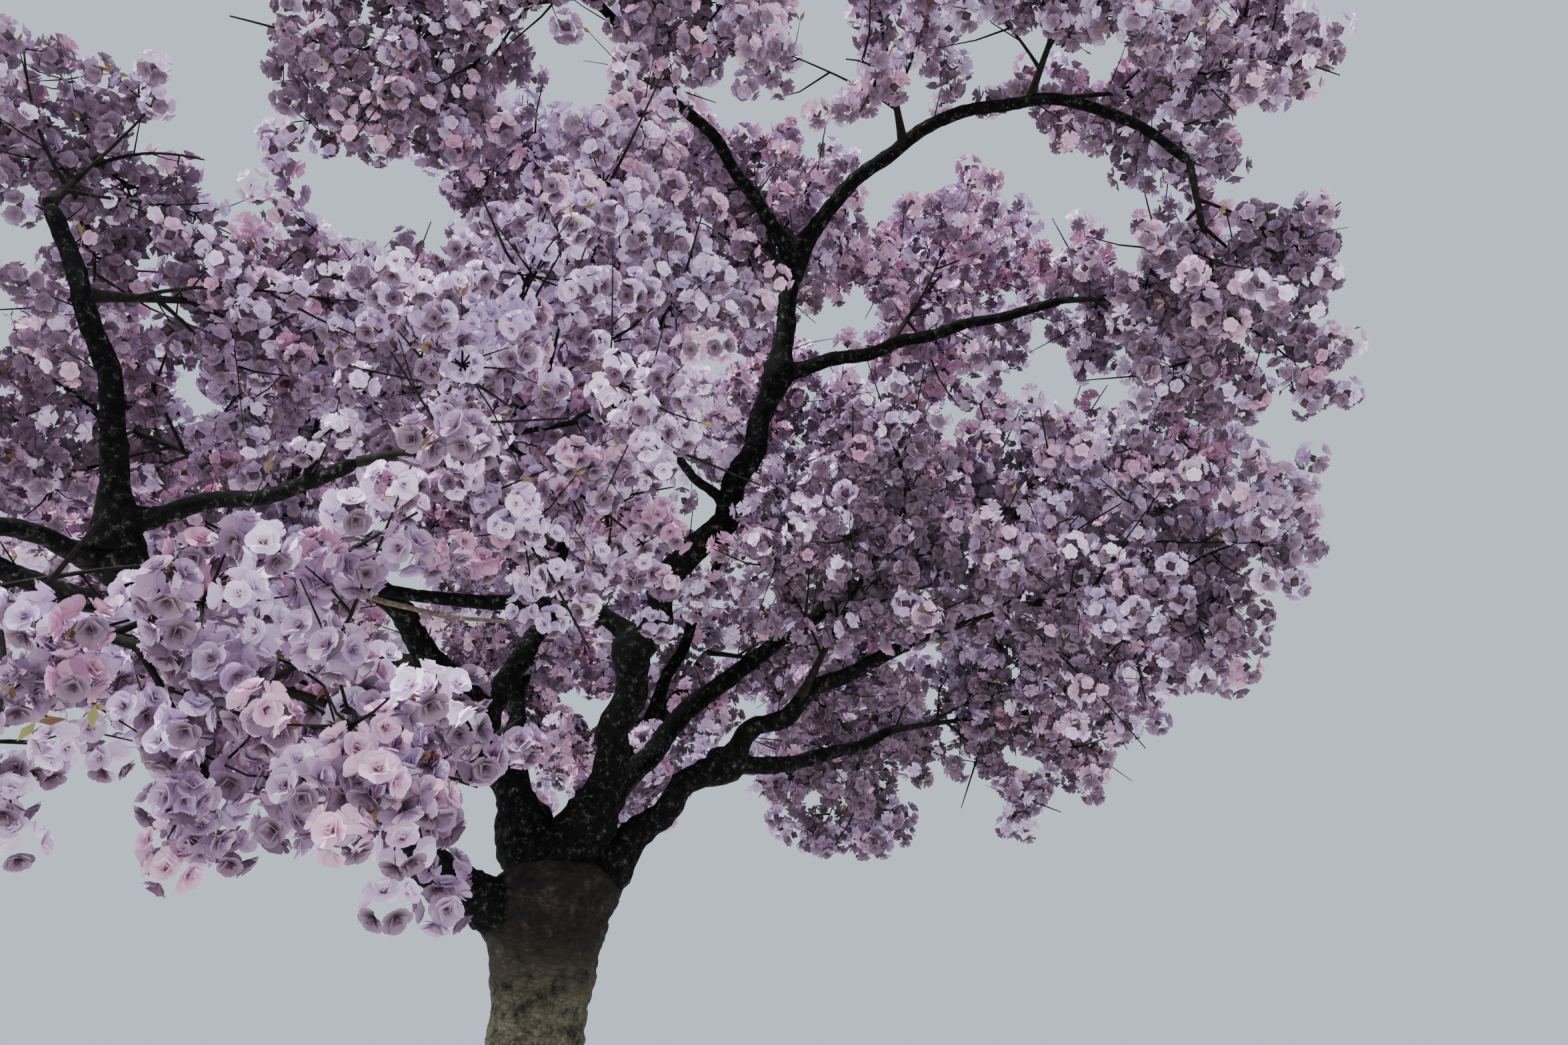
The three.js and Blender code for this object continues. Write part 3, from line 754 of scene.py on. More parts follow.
def plates(across: Array, along: Array, round_cells: int, seed: int) -> Array:
    """Cracked plates: distance to the second nearest cell middle less that to the nearest.

    Args:
        across: place round the limb, in plates.
        along: place along it, in plates.
        round_cells: number of plates round the limb, after which they repeat.
        seed: seed of the plates' places.

    Returns:
        0 in a crack, rising to about 1 on a plate.
    """
    table = np.random.default_rng(seed).random((round_cells, PLATE_ROWS, 2))
    u, v = np.broadcast_arrays(across, along)
    cell_u, cell_v = np.floor(u).astype(int), np.floor(v).astype(int)
    found = []
    for du in (-1, 0, 1):
        for dv in (-1, 0, 1):
            jitter = table[(cell_u + du) % round_cells, (cell_v + dv) % PLATE_ROWS]
            found.append(np.hypot(cell_u + du + jitter[..., 0] - u, cell_v + dv + jitter[..., 1] - v))
    nearest = np.sort(np.stack(found), axis=0)
    return np.clip((nearest[1] - nearest[0]) * PLATE_STEEPNESS, 0, 1)


def distances_to_lines(points: Array, starts: Array, ends: Array) -> Array:
    """Distance from each point to each straight stretch.

    Args:
        points: the points.
        starts: first ends of the stretches.
        ends: their other ends.

    Returns:
        Distances by point and by stretch.
    """
    along = ends - starts
    offset = points[:, None] - starts[None]
    share = np.clip(np.einsum("pij,ij->pi", offset, along) / np.einsum("ij,ij->i", along, along), 0, 1)
    return np.linalg.norm(offset - share[..., None] * along[None], axis=2)


def join_swelling(points: Array, radii: Array, starts: Array, ends: Array, other_radii: Array) -> Array:
    """How far a surface moves out near another limb, so that the two run into each other.

    It is a quarter of the reach times the square of one less the gap over the reach, as in a smooth
    union. The reach goes with the thinner of the two.

    Args:
        points: points on the surface.
        radii: the limb's own radius at each.
        starts: first ends of the other limbs' stretches.
        ends: their other ends.
        other_radii: their radii.

    Returns:
        One distance for each point.
    """
    gaps = distances_to_lines(points, starts, ends) - other_radii
    reach = JOIN_REACH * np.minimum(radii[:, None], other_radii[None])
    return (reach / 4 * (1 - np.clip(gaps / reach, 0, 1)) ** 2).max(axis=1)


def lumps(angles: Array | float, along: Array | float, size: float, seed: int) -> Array:
    """Smooth lumps that repeat round a limb: a sum of waves with whole numbers round it.

    Args:
        angles: angles round the limb.
        along: places along it, in metres.
        size: rough length of a lump, in metres.
        seed: seed of the waves.

    Returns:
        Values of about -1 to 1.
    """
    rng = np.random.default_rng(seed)
    total = np.zeros(np.broadcast(angles, along).shape)
    for _ in range(LUMP_WAVES):
        turns = int(rng.integers(0, LUMP_MOST_TURNS))
        pitch = rng.uniform(*LUMP_PITCHES) * 2 * np.pi / size
        total += np.sin(turns * angles + pitch * along + rng.uniform(0, 2 * np.pi)) / math.sqrt(LUMP_WAVES)
    return total


def linear(colour: str) -> tuple[float, float, float, float]:
    """An sRGB hex colour as Blender's linear colour, by the sRGB curve.

    Args:
        colour: six hex digits after a hash.

    Returns:
        Red, green, blue and alpha.
    """
    parts = [int(colour[i:i + 2], 16) / 255 for i in (1, 3, 5)]
    bent = [p / 12.92 if p <= 0.04045 else ((p + 0.055) / 1.055) ** 2.4 for p in parts]
    return (bent[0], bent[1], bent[2], 1.0)


def add_node(tree: bpy.types.NodeTree, kind: str, settings: dict | None = None,
             **links: object) -> bpy.types.Node:
    """Adds a node with its settings, and links or sets its inputs.

    Args:
        tree: the node tree.
        kind: Blender's node type.
        settings: attributes of the node, and as "stops" the places and hex colours of a colour ramp.
        links: each input's name, with spaces written as underscores, or n and its number, and the
            socket or the value that it gets.

    Returns:
        The node.
    """
    node = tree.nodes.new(kind)
    settings = dict(settings or {})
    stops = settings.pop("stops", ())
    while stops and len(node.color_ramp.elements) < len(stops):
        node.color_ramp.elements.new(0.5)
    for i, (position, colour) in enumerate(stops):
        node.color_ramp.elements[i].position = position
        node.color_ramp.elements[i].color = linear(colour)
    for name, value in settings.items():
        setattr(node, name, value)
    for name, value in links.items():
        key = int(name[1:]) if name[0] == "n" and name[1:].isdigit() else name.replace("_", " ")
        if isinstance(value, Socket):
            tree.links.new(value, node.inputs[key])
        else:
            node.inputs[key].default_value = value
    return node


@dataclass(frozen=True)
class PlainFinish:
    """One plain colour, soft and matt. Thin living parts are faintly waxy, so they hardly shine."""

    name: str
    colour: str
    roughness: float = 0.72
    specular: float = 0.22
    ior: float = 1.42

    def material(self) -> Material:
        """The finish as a material, with its constants on the shader's own sockets.

        Returns:
            The material.
        """
        made = bpy.data.materials.new(self.name)
        made.use_nodes = True
        sockets = made.node_tree.nodes["Principled BSDF"].inputs
        sockets["Base Color"].default_value = linear(self.colour)
        sockets["Roughness"].default_value = self.roughness
        sockets["Specular IOR Level"].default_value = self.specular
        sockets["IOR"].default_value = self.ior
        return made


# What some nodes of the bark do
MULTIPLY_ADD = {"operation": "MULTIPLY_ADD"}
SMOOTH_STEP = {"interpolation_type": "SMOOTHSTEP"}
BLEND = {"data_type": "RGBA"}


@dataclass(frozen=True)
class BarkFinish:
    """Living bark: a rough cork layer with dark cracks, and moss or lichen where rain lies on it.

    The cork is rougher than paint, so it has hardly any gloss. By default its patches are 60 mm across,
    its grain is 8 mm, its cracks stand 22 mm apart and its moss lies in patches of about 110 mm. Moss
    gathers on faces that look up, and the stock below a graft has two colours of its own. Sizes and
    heights are in metres.
    """

    name: str
    dark: str
    middle: str
    light: str
    moss: str
    moss_level: float
    stock: tuple[str, str] | None = None
    patch_size: float = 0.06
    patch_detail: float = 6.0
    patch_roughness: float = 0.74
    cork_stops: tuple[float, float, float] = (0.40, 0.55, 0.70)
    stock_stops: tuple[float, float] = (0.36, 0.66)
    graft_wander: float = 0.7
    graft_blend: tuple[float, float] = (-0.06, 0.36)
    grain_size: float = 0.008
    grain_detail: float = 3.0
    crack_size: float = 0.022
    crack_depth: float = 0.75
    crack_stretch: tuple[float, float, float] = (1.0, 1.0, 0.42)
    crack_wander: tuple[float, float, float] = (0.09, 0.09, 0.05)
    crack_edge: tuple[float, float] = (0.01, 0.16)
    moss_scale: float = 9.0
    moss_detail: float = 8.0
    moss_roughness: float = 0.7
    moss_on_top: float = 0.16
    moss_edge: tuple[float, float] = (1.0, 1.14)
    tuft_stops: tuple[float, float] = (0.35, 0.65)
    crack_relief: float = -0.7
    grain_relief: float = 0.6
    relief_strength: float = 0.75
    relief_height: float = 0.012
    roughness: float = 0.92
    specular: float = 0.25

    def material(self) -> Material:
        """The finish as a material, from Object coordinates and the surface's own slope.

        Returns:
            The material.
        """
        made = bpy.data.materials.new(self.name)
        made.use_nodes = True
        tree = made.node_tree
        add = partial(add_node, tree)
        place = add("ShaderNodeTexCoord").outputs["Object"]
        patch = add("ShaderNodeTexNoise", Vector=place, Scale=1 / self.patch_size, Detail=self.patch_detail,
                    Roughness=self.patch_roughness)
        patches = patch.outputs["Fac"]
        grain = add("ShaderNodeTexNoise", Vector=place, Scale=1 / self.grain_size,
                    Detail=self.grain_detail).outputs["Fac"]
        corks = tuple(zip(self.cork_stops, (self.dark, self.middle, self.light)))
        colour = add("ShaderNodeValToRGB", {"stops": corks}, Fac=patches).outputs["Color"]
        if self.stock:
            colour = self.over_stock(add, place, patches, colour)
        crack = self.cracks(add, place, patch.outputs["Color"])
        colour = add("ShaderNodeMix", BLEND, n0=crack, n6=colour, n7=linear(self.dark)).outputs[2]
        mosses = tuple(zip(self.tuft_stops, (self.dark, self.moss)))
        tufts = add("ShaderNodeValToRGB", {"stops": mosses}, Fac=grain)
        colour = add("ShaderNodeMix", BLEND, n0=self.mossy(add, place), n6=colour,
                     n7=tufts.outputs["Color"]).outputs[2]
        lifted = add("ShaderNodeMath", MULTIPLY_ADD, n0=crack, n1=self.crack_relief, n2=patches)
        rough = add("ShaderNodeMath", MULTIPLY_ADD, n0=grain, n1=self.grain_relief, n2=lifted.outputs[0])
        bump = add("ShaderNodeBump", Height=rough.outputs[0], Strength=self.relief_strength,
                   Distance=self.relief_height)
        sockets = tree.nodes["Principled BSDF"].inputs
        tree.links.new(colour, sockets["Base Color"])
        tree.links.new(bump.outputs["Normal"], sockets["Normal"])
        sockets["Roughness"].default_value = self.roughness
        sockets["Specular IOR Level"].default_value = self.specular
        return made

    def over_stock(self, add: partial, place: Socket, patches: Socket, colour: Socket) -> Socket:
        """The stock's colours below the graft, blended into the bark's along a wandering line.

        Args:
            add: adds a node to the material.
            place: Object coordinates.
            patches: the noise of the patches.
            colour: the bark's colour above the graft.

        Returns:
            The blended colour.
        """
        stock = add("ShaderNodeValToRGB", {"stops": tuple(zip(self.stock_stops, self.stock))}, Fac=patches)
        height = add("ShaderNodeSeparateXYZ", Vector=place).outputs["Z"]
        wander = add("ShaderNodeMath", MULTIPLY_ADD, n0=patches, n1=self.graft_wander, n2=height)
        above = add("ShaderNodeMapRange", SMOOTH_STEP, Value=wander.outputs[0],
                    From_Min=GRAFT_HEIGHT + self.graft_blend[0], From_Max=GRAFT_HEIGHT + self.graft_blend[1])
        return add("ShaderNodeMix", BLEND, n0=above.outputs[0], n6=stock.outputs["Color"],
                   n7=colour).outputs[2]

    def cracks(self, add: partial, place: Socket, bend: Socket) -> Socket:
        """How deep in a crack a point is: cells' edges, on coordinates that are bent and stretched.

        Args:
            add: adds a node to the material.
            place: Object coordinates.
            bend: the noise that bends them.

        Returns:
            From 0 on a plate to the crack's depth.
        """
        bent = add("ShaderNodeVectorMath", MULTIPLY_ADD, n0=bend, n1=self.crack_wander, n2=place)
        drawn = add("ShaderNodeMapping", Vector=bent.outputs[0], Scale=self.crack_stretch)
        cells = add("ShaderNodeTexVoronoi", {"feature": "DISTANCE_TO_EDGE"}, Vector=drawn.outputs[0],
                    Scale=1 / self.crack_size)
        return add("ShaderNodeMapRange", SMOOTH_STEP, Value=cells.outputs["Distance"],
                   From_Min=self.crack_edge[0], From_Max=self.crack_edge[1], To_Min=self.crack_depth,
                   To_Max=0.0).outputs[0]

    def mossy(self, add: partial, place: Socket) -> Socket:
        """How much moss covers a point: more where a broad noise is high and the face looks up.

        Args:
            add: adds a node to the material.
            place: Object coordinates.

        Returns:
            From 0 to 1.
        """
        normal = add("ShaderNodeNewGeometry").outputs["Normal"]
        slope = add("ShaderNodeSeparateXYZ", Vector=normal).outputs["Z"]
        spread = add("ShaderNodeTexNoise", Vector=place, Scale=self.moss_scale, Detail=self.moss_detail,
                     Roughness=self.moss_roughness)
        wet = add("ShaderNodeMath", MULTIPLY_ADD, n0=slope, n1=self.moss_on_top, n2=spread.outputs["Fac"])
        return add("ShaderNodeMapRange", SMOOTH_STEP, Value=wet.outputs[0],
                   From_Min=self.moss_edge[0] - self.moss_level,
                   From_Max=self.moss_edge[1] - self.moss_level).outputs[0]


class Tone(Enum):
    """The petals' plain colours, with the share of flower balls dealt each. The last, a painted shade, is
    dealt by chance to none, but given to flowers that look down and to balls in their mass's shade.
    """

    PALE = ("#f7e1fb", 0.31)
    LILAC = ("#dac2e3", 0.24)
    PINK = ("#e8c2dc", 0.24)
    MAUVE = ("#b398b6", 0.14)
    ROSE = ("#cf9fbc", 0.08)
    # Painted shade: a dark mauve that stands for the shade on the balls' undersides and inside the masses
    DUSKY = ("#8a7387", 0.0)

    def __init__(self, colour: str, share: float) -> None:
        """Keeps the colour and the share under names of their own."""
        self.colour = colour
        self.share = share


@dataclass
class Trunk:
    """The grafted trunk, from its flat cut at the ground to the head that the limbs leave."""

    height: float = 2.330
    lean: float = 0.090
    width_low: float = 0.455
    width_waist: float = 0.475
    head_width: float = 0.560
    head_start: float = 0.80
    head_full: float = 0.93
    flare_width: float = 0.620
    flare_height: float = 0.420
    flare_lobes: int = 5
    flare_lobe_depth: float = 0.12
    solid_steps: int = 16
    closed_from: float = 0.97
    closed_share: float = 0.62
    rings: int = 160
    sides: int = 120
    inset: float = 0.012
    plates_round: int = 26
    plate_height: float = 0.075
    plate_relief: tuple[float, float] = (0.017, 0.004)
    crack_height: float = 0.016
    crack_relief: float = 0.007
    crack_wave: float = 0.01
    graft_edge: float = 0.05
    graft_collar: tuple[float, float] = (0.045, 0.010)
    swells: tuple[float, float] = (0.42, 0.009)
    bumps: tuple[float, float] = (0.14, 0.004)
    top_share: float = 0.11
    top_low: float = 0.15
    top_relief: float = 0.4
    finish: BarkFinish = BarkFinish(
        "living_cherry_bark_with_moss", dark="#0d0b0a", middle="#261f1a", light="#4c443a", moss="#454628",
        moss_level=0.26, stock=("#15130e", "#7f7963"), patch_size=0.09, crack_size=0.028, crack_depth=0.36,
        crack_stretch=(0.50, 0.50, 1.20),
    )

    def radius(self, shares: Array, angles: Array) -> Array:
        """The solid's radius: a slow taper, root lobes that fade upward, and the head's swelling.

        Args:
            shares: heights as shares of the trunk's, from 0 to 1.
            angles: angles round the trunk.

        Returns:
            The radii.
        """
        low = np.interp(shares, [0, 1], [self.width_low, self.width_waist]) / 2
        fade = np.exp(-3 * shares * self.height / self.flare_height)
        flare = fade * (self.flare_width / 2 - low)
        lobes = 1 + self.flare_lobe_depth * np.cos(self.flare_lobes * angles) * fade
        rise = np.clip((shares - self.head_start) / (self.head_full - self.head_start), 0, 1)
        head = rise**2 * (3 - 2 * rise) * (self.head_width / 2 - low)
        return (low + flare + head) * lobes

    def solid_path(self) -> Array:
        """The solid's centre line, which leans by the square of the height."""
        shares = np.linspace(0, 1, self.solid_steps + 1)
        return np.stack([self.lean * shares**2, 0 * shares, self.height * shares], axis=1)

    def solid_radii(self) -> Array:
        """The radii along that line that the rule keeps clear, less where the top closes."""
        shares = np.linspace(0, 1, self.solid_steps + 1)
        return self.radius(shares, 0 * shares) * np.where(shares > self.closed_from, self.closed_share, 1)

    def build(self, rule: "GrowthRule") -> Piece:
        """The trunk with relief: plates of cork above the graft, finer cross cracks below it.

        Point (share, angle) lies at the centre line plus radius times (cos, sin), and the relief is
        added to the radius. The top closes over the head in a low dome, drawn out to each limb.

        Args:
            rule: the grown limbs.

        Returns:
            The piece.
        """
        shares = np.linspace(0, 1, self.rings)[:, None]
        angles = np.linspace(0, 2 * np.pi, self.sides, endpoint=False)[None]
        along = shares * self.height
        across = angles / (2 * np.pi) * self.plates_round
        cork = plates(across, along / self.plate_height, self.plates_round, Seed.TRUNK_PLATES)
        wavy = along + self.crack_wave * np.sin(3 * angles)
        fine = plates(across * 2, wavy / self.crack_height, self.plates_round * 2, Seed.TRUNK_CRACKS)
        graft_line = self.graft_edge * lumps(angles, 0.0, 1.0, Seed.GRAFT_LINE)
        upper = np.clip((along - GRAFT_HEIGHT - graft_line) / self.graft_edge, 0, 1)
        collar = np.exp(-((along - GRAFT_HEIGHT) / self.graft_collar[0]) ** 2) * self.graft_collar[1]
        relief = upper * cork * self.plate_relief[0]
        relief = relief + (1 - upper) * (fine * self.crack_relief + cork * self.plate_relief[1])
        relief += (lumps(angles, along, self.swells[0], Seed.TRUNK_SWELLS) * self.swells[1]
                   + lumps(angles, along, self.bumps[0], Seed.TRUNK_BUMPS) * self.bumps[1] + collar)
        closing = np.clip((1 - shares) / self.top_share, 0, 1)
        dome = self.top_low + (1 - self.top_low) * np.sqrt(1 - (1 - closing)**2)
        relief = relief * (self.top_relief + (1 - self.top_relief) * closing)
        radius = (self.radius(shares, angles) - self.inset + relief) * dome
        path = np.stack([self.lean * shares**2, 0 * shares, along], axis=-1)
        ring = np.stack([np.cos(angles), np.sin(angles), 0 * angles], axis=-1)
        walls = path + radius[..., None] * ring
        swelling = join_swelling(walls.reshape(-1, 3), radius.ravel(), *rule.wood_but("trunk"))
        walls = walls + swelling.reshape(radius.shape)[..., None] * ring
        walls[0, :, 2] = 0
        shape = grid_tube(walls)
        piece = make_piece("bark_trunk", shape, self.finish.material())
        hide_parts("trunk")
        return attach(piece, "root")


@dataclass
class LimbBark:
    """The boughs and limbs above the graft, in near-black bark with pale lichen."""

    rule: GrowthRule
    ring_spacing: float = 0.030
    fewest_rings: int = 24
    sides: int = 22
    thickness: float = 0.96
    plate_width: float = 0.028
    plate_height: float = 0.055
    fewest_plates: int = 5
    plate_relief: tuple[float, float] = (0.010, 0.09)
    knobs: tuple[float, float] = (0.20, 0.045)
    warts: tuple[float, float] = (0.07, 0.03)
    root_swelling: float = 0.12
    root_swelling_length: float = 0.24
    crookedness: float = 0.42
    crook_length: float = 0.80
    tip_round: float = 0.03
    tip_low: float = 0.45
    seed_step: int = 7
    finish: BarkFinish = BarkFinish(
        "living_cherry_limb_bark_with_lichen", dark="#060606", middle="#171516", light="#6b6c66",
        moss="#44462a", moss_level=0.26, patch_size=0.036, specular=0.12,
    )
    dead_finish: BarkFinish = BarkFinish(
        "dead_weathered_wood", dark="#6d6252", middle="#94876f", light="#c3b79c", moss="#8f8a6a",
        moss_level=0.10, patch_size=0.03, grain_size=0.004,
    )

    def limb(self, limb: Limb, seed: int) -> Shape:
        """One limb: rings along its smoothed path, its taper with relief, knobs and a round end.

        Point (ring, angle) lies at the path plus radius times (across cos + over sin). The path strays
        sideways by smooth waves, a share of the radius high, that fade out at both ends.

        Args:
            limb: the limb.
            seed: seed of its bark.

        Returns:
            The closed limb.
        """
        rings = max(self.fewest_rings, int(limb.length / self.ring_spacing))
        path = smooth_path(self.rule.paths[limb.name], rings)
        shares = np.linspace(0, 1, rings)
        across, over = frames_along(path)
        angles = np.linspace(0, 2 * np.pi, self.sides, endpoint=False)
        along = (shares * limb.length)[:, None]
        radius = self.rule.limb_radii(limb, shares)[:, None]
        stray = radius * self.crookedness * np.sin(np.pi * shares)[:, None]
        path = path + across * stray * lumps(0.0, along, self.crook_length, seed + 3)
        path = path + over * stray * lumps(0.0, along, self.crook_length, seed + 4)
        girth = float(np.mean(limb.widths)) * math.pi
        cells = max(self.fewest_plates, round(girth / self.plate_width))
        cork = plates(angles / (2 * np.pi) * cells, along / self.plate_height, cells, seed)
        knobs = (lumps(angles, along, self.knobs[0], seed + 1) * self.knobs[1]
                 + lumps(angles, along, self.warts[0], seed + 2) * self.warts[1])
        most_relief = np.minimum(self.plate_relief[0], radius * self.plate_relief[1])
        radius = radius * (self.thickness + knobs) + (cork - 0.5) * most_relief
        if limb.parent == "trunk":
            radius = radius * (1 + self.root_swelling * np.exp(-along / self.root_swelling_length))
        closing = np.clip((1 - shares) * limb.length / self.tip_round, 0, 1)[:, None]
        radius = radius * (self.tip_low + (1 - self.tip_low) * np.sqrt(1 - (1 - closing) ** 2))
        ring = round_about(across, over, angles)
        walls = path[:, None] + radius[..., None] * ring
        swelling = join_swelling(walls.reshape(-1, 3), radius.ravel(), *self.rule.wood_but(limb.name))
        return grid_tube(walls + swelling.reshape(radius.shape)[..., None] * ring)

    def build(self) -> list[Piece]:
        """The living limbs as one piece, and the dead branch as another.

        Returns:
            Both pieces.
        """
        seeds = [Seed.LIMB_BARK + self.seed_step * i for i in range(len(LIMBS))]
        shapes = {limb.name: self.limb(limb, seed) for limb, seed in zip(LIMBS, seeds)}
        dead = make_piece("bark_dead_branch", shapes.pop("dead_branch"), self.dead_finish.material())
        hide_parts("dead_branch")
        living = make_piece("bark_limbs", joined(list(shapes.values())), self.finish.material())
        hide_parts(*shapes)
        return [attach(piece, "root") for piece in (living, dead)]


def dealt(counts: Array) -> tuple[Array, Array]:
    """Items dealt to carriers by count: the carrier of each, and its place in that carrier's row."""
    index = np.repeat(np.arange(len(counts)), counts)
    return index, np.arange(len(index)) - np.repeat(np.cumsum(counts) - counts, counts)


@dataclass
class Shoots:
    """Many thin shoots of the same number of points, with the mass and the spray that each belongs to."""

    paths: Array
    radii: Array
    owners: Array
    groups: Array

    @staticmethod
    def together(sets: tuple["Shoots", ...]) -> "Shoots":
        """Several sets as one."""
        names = ("paths", "radii", "owners", "groups")
        return Shoots(*(np.concatenate([getattr(part, name) for part in sets]) for name in names))

    def take(self, keep: Array) -> "Shoots":
        """Only the shoots that are marked."""
        return Shoots(self.paths[keep], self.radii[keep], self.owners[keep], self.groups[keep])

    def lengths(self) -> Array:
        """The length of each."""
        return np.linalg.norm(np.diff(self.paths, axis=1), axis=2).sum(axis=1)

    def along(self, index: Array, station: Array) -> tuple[Array, Array]:
        """Places on some of the shoots.

        Args:
            index: the shoot of each place.
            station: its share of the way along that shoot.

        Returns:
            The places and the shoots' directions there.
        """
        place = station * (self.paths.shape[1] - 1)
        low = np.minimum(place.astype(int), self.paths.shape[1] - 2)
        share = (place - low)[:, None]
        before, after = self.paths[index, low], self.paths[index, low + 1]
        return before * (1 - share) + after * share, unit(after - before)


@dataclass(frozen=True)
class Opening:
    """A place that the photo shows open: its middle and half sizes in the photo's pixels.

    Blossom nearer than a distance, in metres, is kept out of it, so that light or a bough shows there.
    """

    across: float
    down: float
    half_width: float
    half_height: float
    within: float = 100.0


OPENINGS = {
    "gap_right_of_left_crown": Opening(335, 110, 80, 200),
    "gap_over_left_crown": Opening(205, -70, 250, 160),
    "gap_beside_lone_cluster": Opening(545, 290, 95, 70),
    "gap_in_leader_fork": Opening(1250, 90, 55, 60),
    "gap_under_right_limb": Opening(1620, 265, 65, 45),
    "gap_past_right_edge": Opening(2190, 470, 150, 170),
    "gap_at_lower_right": Opening(2060, 1010, 190, 120),
    "view_of_left_limbs": Opening(170, 740, 175, 150, within=4.5),
    "view_of_left_bough": Opening(615, 930, 125, 85, within=4.3),
    "view_of_fork": Opening(930, 1175, 130, 180, within=5.0),
    "view_of_leader": Opening(1085, 830, 60, 210, within=5.0),
}


def photo_pixels(points: Array) -> Array:
    """Pixels of points in the photo, as a pinhole sees them: offsets over depth, times the focal length.

    Args:
        points: places.

    Returns:
        Pixels across and down.
    """
    pitch = math.radians(CAMERA_PITCH_DEG)
    width, height = PHOTO_SIZE
    focal = CAMERA_LENS_MM / CAMERA_SENSOR_MM * width
    offset = points - np.array(CAMERA_PLACE)
    depth = offset[..., 1] * math.cos(pitch) + offset[..., 2] * math.sin(pitch)
    up = offset[..., 2] * math.cos(pitch) - offset[..., 1] * math.sin(pitch)
    depth = np.maximum(depth, NEAREST_DEPTH)
    return np.stack([width / 2 + focal * offset[..., 0] / depth, height / 2 - focal * up / depth], axis=-1)


def from_eye(points: Array) -> Array:
    """How far points are from the photo's eye."""
    return np.linalg.norm(points - np.array(CAMERA_PLACE), axis=-1)


def in_opening(points: Array) -> Array:
    """Marks the points that fall in a place that the photo shows open, each an ellipse in its view.

    Args:
        points: the points.

    Returns:
        True for each such point.
    """
    pixels, depth = photo_pixels(points), from_eye(points)
    hidden = np.zeros(len(points), bool)
    for gap in OPENINGS.values():
        away = (pixels - (gap.across, gap.down)) / (gap.half_width, gap.half_height)
        hidden |= (np.einsum("ij,ij->i", away, away) < 1) & (depth < gap.within)
    return hidden & (points[:, 1] > CAMERA_PLACE[1])


@dataclass(frozen=True)
class ShootPlan:
    """How shoots leave their carriers: from what share on, how many on each metre, and how long."""

    seed: Seed
    first_at: float
    per_metre: float
    lengths: tuple[float, float]


@dataclass
class CrownWood:
    """All the wood that blossom sits on."""

    stems: Shoots
    twigs: Shoots
    shoots: Shoots


